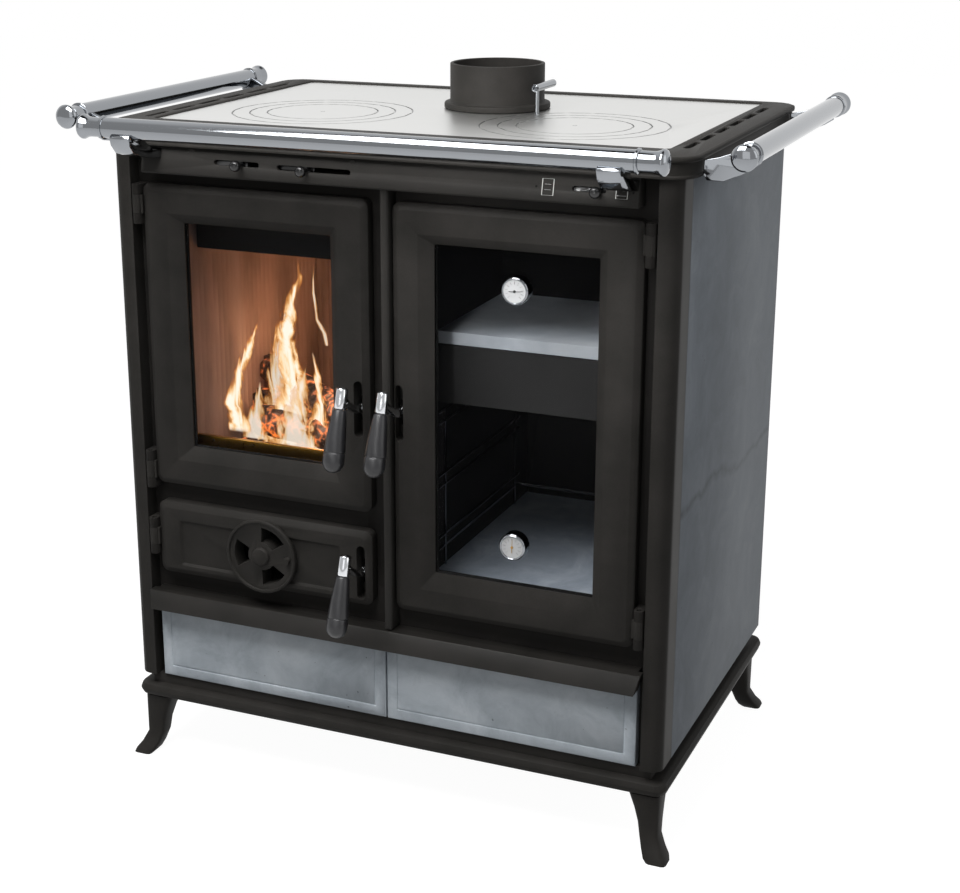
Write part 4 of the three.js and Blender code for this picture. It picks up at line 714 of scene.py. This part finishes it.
# ---- fire: logs, embers and flames ----
# each flame is a ribbon: x and z of its middle line and its half width, in mm, and its depth
flames = [
    {"depth": -60, "mat": flame, "line": [(-217, 408, 34), (-213, 450, 30), (-200, 500, 19), (-211, 545, 18),
                                          (-209, 578, 16), (-202, 610, 10), (-188, 650, 8), (-190, 686, 2)]},
    {"depth": -40, "mat": wisp, "line": [(-236, 410, 26), (-232, 455, 22), (-226, 505, 16), (-222, 556, 10),
                                         (-212, 592, 5), (-206, 618, 1.5)]},
    {"depth": -150, "mat": flame, "line": [(-285, 425, 18), (-296, 462, 14), (-283, 512, 9), (-267, 545, 8),
                                           (-258, 568, 6), (-247, 594, 1.5)]},
    {"depth": -80, "mat": flame, "line": [(-168, 408, 18), (-166, 446, 14), (-160, 480, 9), (-165, 518, 6),
                                          (-172, 550, 1.5)]},
    {"depth": -30, "mat": wisp, "line": [(-150, 560, 2), (-153, 577, 3.4), (-164, 595, 3.6),
                                         (-168, 630, 2.6), (-167, 669, 1)]},
    {"depth": -110, "mat": wisp, "line": [(-200, 412, 36), (-204, 440, 30), (-196, 472, 20), (-188, 504, 11),
                                          (-181, 530, 2)]},
    {"depth": -130, "mat": wisp, "line": [(-262, 418, 18), (-262, 446, 14), (-256, 474, 8), (-252, 500, 2)]},
]
flameWide = 1.25  # how much wider the glow is than the measured flame
for number, item in enumerate(flames):
    line = item["line"]
    rows = 6 * (len(line) - 1)
    deselectAll()
    bpy.ops.mesh.primitive_grid_add(x_subdivisions=6, y_subdivisions=rows, size=1)
    obj = bpy.context.object
    for vertex in obj.data.vertices:
        along = (vertex.co.y + 0.5) * (len(line) - 1)
        step = min(int(along), len(line) - 2)
        share = along - step
        share = share * share * (3 - 2 * share)
        x, z, half = (a + (b - a) * share for a, b in zip(line[step], line[step + 1]))
        across = vertex.co.x * 2
        vertex.co = seenAt(x + across * half * flameWide, z,
                           item["depth"] + 9 * math.sin(across * 2.4 + along * 1.7))
    finishPiece(obj, f"flame_{number}", "stove", item["mat"], angle=180)

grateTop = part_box("grate")[1].z / mm
logs = [
    {"radius": 27, "long": 250, "at": (-172, 20, 29), "turn": (0, 0, math.radians(96))},
    {"radius": 23, "long": 220, "at": (-150, -62, 25), "turn": (0, 0, math.radians(81))},
    {"radius": 21, "long": 205, "at": (-205, -20, 68), "turn": (math.radians(5), 0, math.radians(58))},
]
random.seed(7)
for number, log in enumerate(logs):
    rings = [(0.6, -log["long"] / 2)]
    for step in range(12):
        rings.append((log["radius"] * random.uniform(0.86, 1.04), log["long"] * (step / 11 - 0.5)))
    rings.append((0.6, log["long"] / 2))
    x, y, rise = log["at"]
    turned(f"burning_log_{number}", rings, "stove", charred,
           (x * mm, y * mm, (grateTop + rise) * mm), "Y", 20, turn=log["turn"])
for number in range(16):
    deselectAll()
    bpy.ops.mesh.primitive_ico_sphere_add(subdivisions=2, radius=random.uniform(7, 13) * mm)
    obj = bpy.context.object
    for vertex in obj.data.vertices:
        vertex.co *= random.uniform(0.78, 1.12)
        vertex.co.z *= 0.7
    obj.location = (random.uniform(-268, -80) * mm, random.uniform(-140, 60) * mm, (grateTop + 8) * mm)
    finishPiece(obj, f"ember_{number}", "stove", ember, angle=20)
print("fire ready")

# ---- floor, light and camera ----
deselectAll()
bpy.ops.mesh.primitive_plane_add(size=14, location=(0, 1.5, -0.0005))
floor = bpy.context.object
floor.name = "studioFloor"


def seenDirectly(tree):
    path = addNode(tree, "ShaderNodeLightPath")
    seen = addNode(tree, "ShaderNodeMath", {"operation": "MAXIMUM"},
                   {0: path.outputs["Is Camera Ray"], 1: path.outputs["Is Glossy Ray"]})
    return addNode(tree, "ShaderNodeMath", {"operation": "MAXIMUM"},
                   {0: seen.outputs[0], 1: path.outputs["Is Transmission Ray"]})


studio = {"floorSeen": 0.96, "floorTone": 0.2, "skyUnseen": 0.2, "flag": 0.03}
floorMat, tree, out = newMaterial("paleStudioFloor")
lift = addNode(tree, "ShaderNodeMath", {"operation": "MULTIPLY", 1: studio["floorSeen"]},
               {0: seenDirectly(tree).outputs[0]})
glow = addNode(tree, "ShaderNodeEmission", {"Color": (1, 1, 1, 1)}, {"Strength": lift.outputs[0]})
tone = studio["floorTone"]
matte = addNode(tree, "ShaderNodeBsdfDiffuse", {"Color": (tone, tone, tone, 1)})
both = addNode(tree, "ShaderNodeAddShader", {}, {0: glow.outputs[0], 1: matte.outputs[0]})
tree.links.new(both.outputs[0], out.inputs["Surface"])
floor.data.materials.append(floorMat)

world = bpy.data.worlds.new("studioWorld")
scene.world = world
world.use_nodes = True
tree = world.node_tree
tree.nodes.clear()
out = addNode(tree, "ShaderNodeOutputWorld")
level = addNode(tree, "ShaderNodeMapRange", {"To Min": studio["skyUnseen"], "To Max": 1.0},
                {"Value": seenDirectly(tree).outputs[0]})
# seen only in reflections: a dark flag over the stove and a half-dark one in front of it, which give
# the chrome its dark bands
path = addNode(tree, "ShaderNodeLightPath")
way = addNode(tree, "ShaderNodeTexCoord")
way = addNode(tree, "ShaderNodeSeparateXYZ", {}, {"Vector": way.outputs["Generated"]})
ahead = addNode(tree, "ShaderNodeMapRange", {"From Min": 0.1, "From Max": -0.3, "To Max": 0.45},
                {"Value": way.outputs["Y"]})
overhead = addNode(tree, "ShaderNodeMapRange", {"From Min": 0.84, "From Max": 0.93},
                   {"Value": way.outputs["Z"]})
flag = addNode(tree, "ShaderNodeMath", {"operation": "MAXIMUM"},
               {0: ahead.outputs[0], 1: overhead.outputs[0]})
flag = addNode(tree, "ShaderNodeMath", {"operation": "MULTIPLY"},
               {0: flag.outputs[0], 1: path.outputs["Is Glossy Ray"]})
dim = addNode(tree, "ShaderNodeMapRange", {"To Min": 1.0, "To Max": studio["flag"]},
              {"Value": flag.outputs[0]})
level = addNode(tree, "ShaderNodeMath", {"operation": "MULTIPLY"}, {0: level.outputs[0], 1: dim.outputs[0]})
sky = addNode(tree, "ShaderNodeBackground", {"Color": (1, 1, 1, 1)}, {"Strength": level.outputs[0]})
tree.links.new(sky.outputs[0], out.inputs["Surface"])

lamps = [
    {"name": "softboxTop", "at": (-0.2, -0.85, 1.95), "aim": (0, 0.0, 0.8), "size": 1.1, "power": 42},
    {"name": "softboxRight", "at": (3.0, -0.2, 1.8), "aim": (0.2, 0, 0.5), "size": 2.0, "power": 11},
    {"name": "softboxFront", "at": (0.4, -2.9, 1.3), "aim": (0.1, 0, 0.55), "size": 1.6, "power": 6},
]


def addLamp(name, kind, power, place, aim=None):
    data = bpy.data.lights.new(name, kind)
    data.energy = power
    light = bpy.data.objects.new(name, data)
    scene.collection.objects.link(light)
    light.location = place
    if aim:
        light.rotation_euler = (Vector(aim) - Vector(place)).to_track_quat("-Z", "Y").to_euler()
    return data


for lamp in lamps:
    addLamp(lamp["name"], "AREA", lamp["power"], lamp["at"], lamp["aim"]).size = lamp["size"]

# the fire's own warm light, at the middle of the flames
fireLamp = {"at": (-160, -40, 480), "colour": "#ffbc88", "power": 2.6, "size": 0.05}
data = addLamp("fireGlow", "POINT", fireLamp["power"], Vector(fireLamp["at"]) * mm)
data.color = linear(fireLamp["colour"])[:3]
data.shadow_soft_size = fireLamp["size"]

# a narrow lamp through the oven's window, so that its stones show
ovenLamp = {"at": (0.25, -1.55, 1.0), "aim": (0.17, -0.05, 0.62), "power": 34, "cone": 16, "blend": 0.6,
            "size": 0.08}
data = addLamp("ovenSnoot", "SPOT", ovenLamp["power"], ovenLamp["at"], ovenLamp["aim"])
data.spot_size = math.radians(ovenLamp["cone"])
data.spot_blend = ovenLamp["blend"]
data.shadow_soft_size = ovenLamp["size"]

camera = bpy.data.objects.new("camera", bpy.data.cameras.new("camera"))
scene.collection.objects.link(camera)
scene.camera = camera
yaw, pitch, roll = (math.radians(view[key]) for key in ("yaw", "pitch", "roll"))
forward = Vector((-math.sin(yaw) * math.cos(pitch), math.cos(yaw) * math.cos(pitch), -math.sin(pitch)))
rightWay = Vector((math.cos(yaw), math.sin(yaw), 0))
upWay = rightWay.cross(forward)
rolledRight = math.cos(roll) * rightWay + math.sin(roll) * upWay
rolledUp = -math.sin(roll) * rightWay + math.cos(roll) * upWay
turn = Matrix((rolledRight, rolledUp, -forward)).transposed()
camera.matrix_world = Matrix.Translation(view["place"]) @ turn.to_4x4()
camera.data.sensor_fit = "HORIZONTAL"
camera.data.sensor_width = 36
camera.data.lens = view["lens"]
camera.data.shift_x = view["shiftX"]
camera.data.shift_y = view["shiftY"]
camera.data.clip_start = 0.05
camera.data.clip_end = 60
print("stage ready")
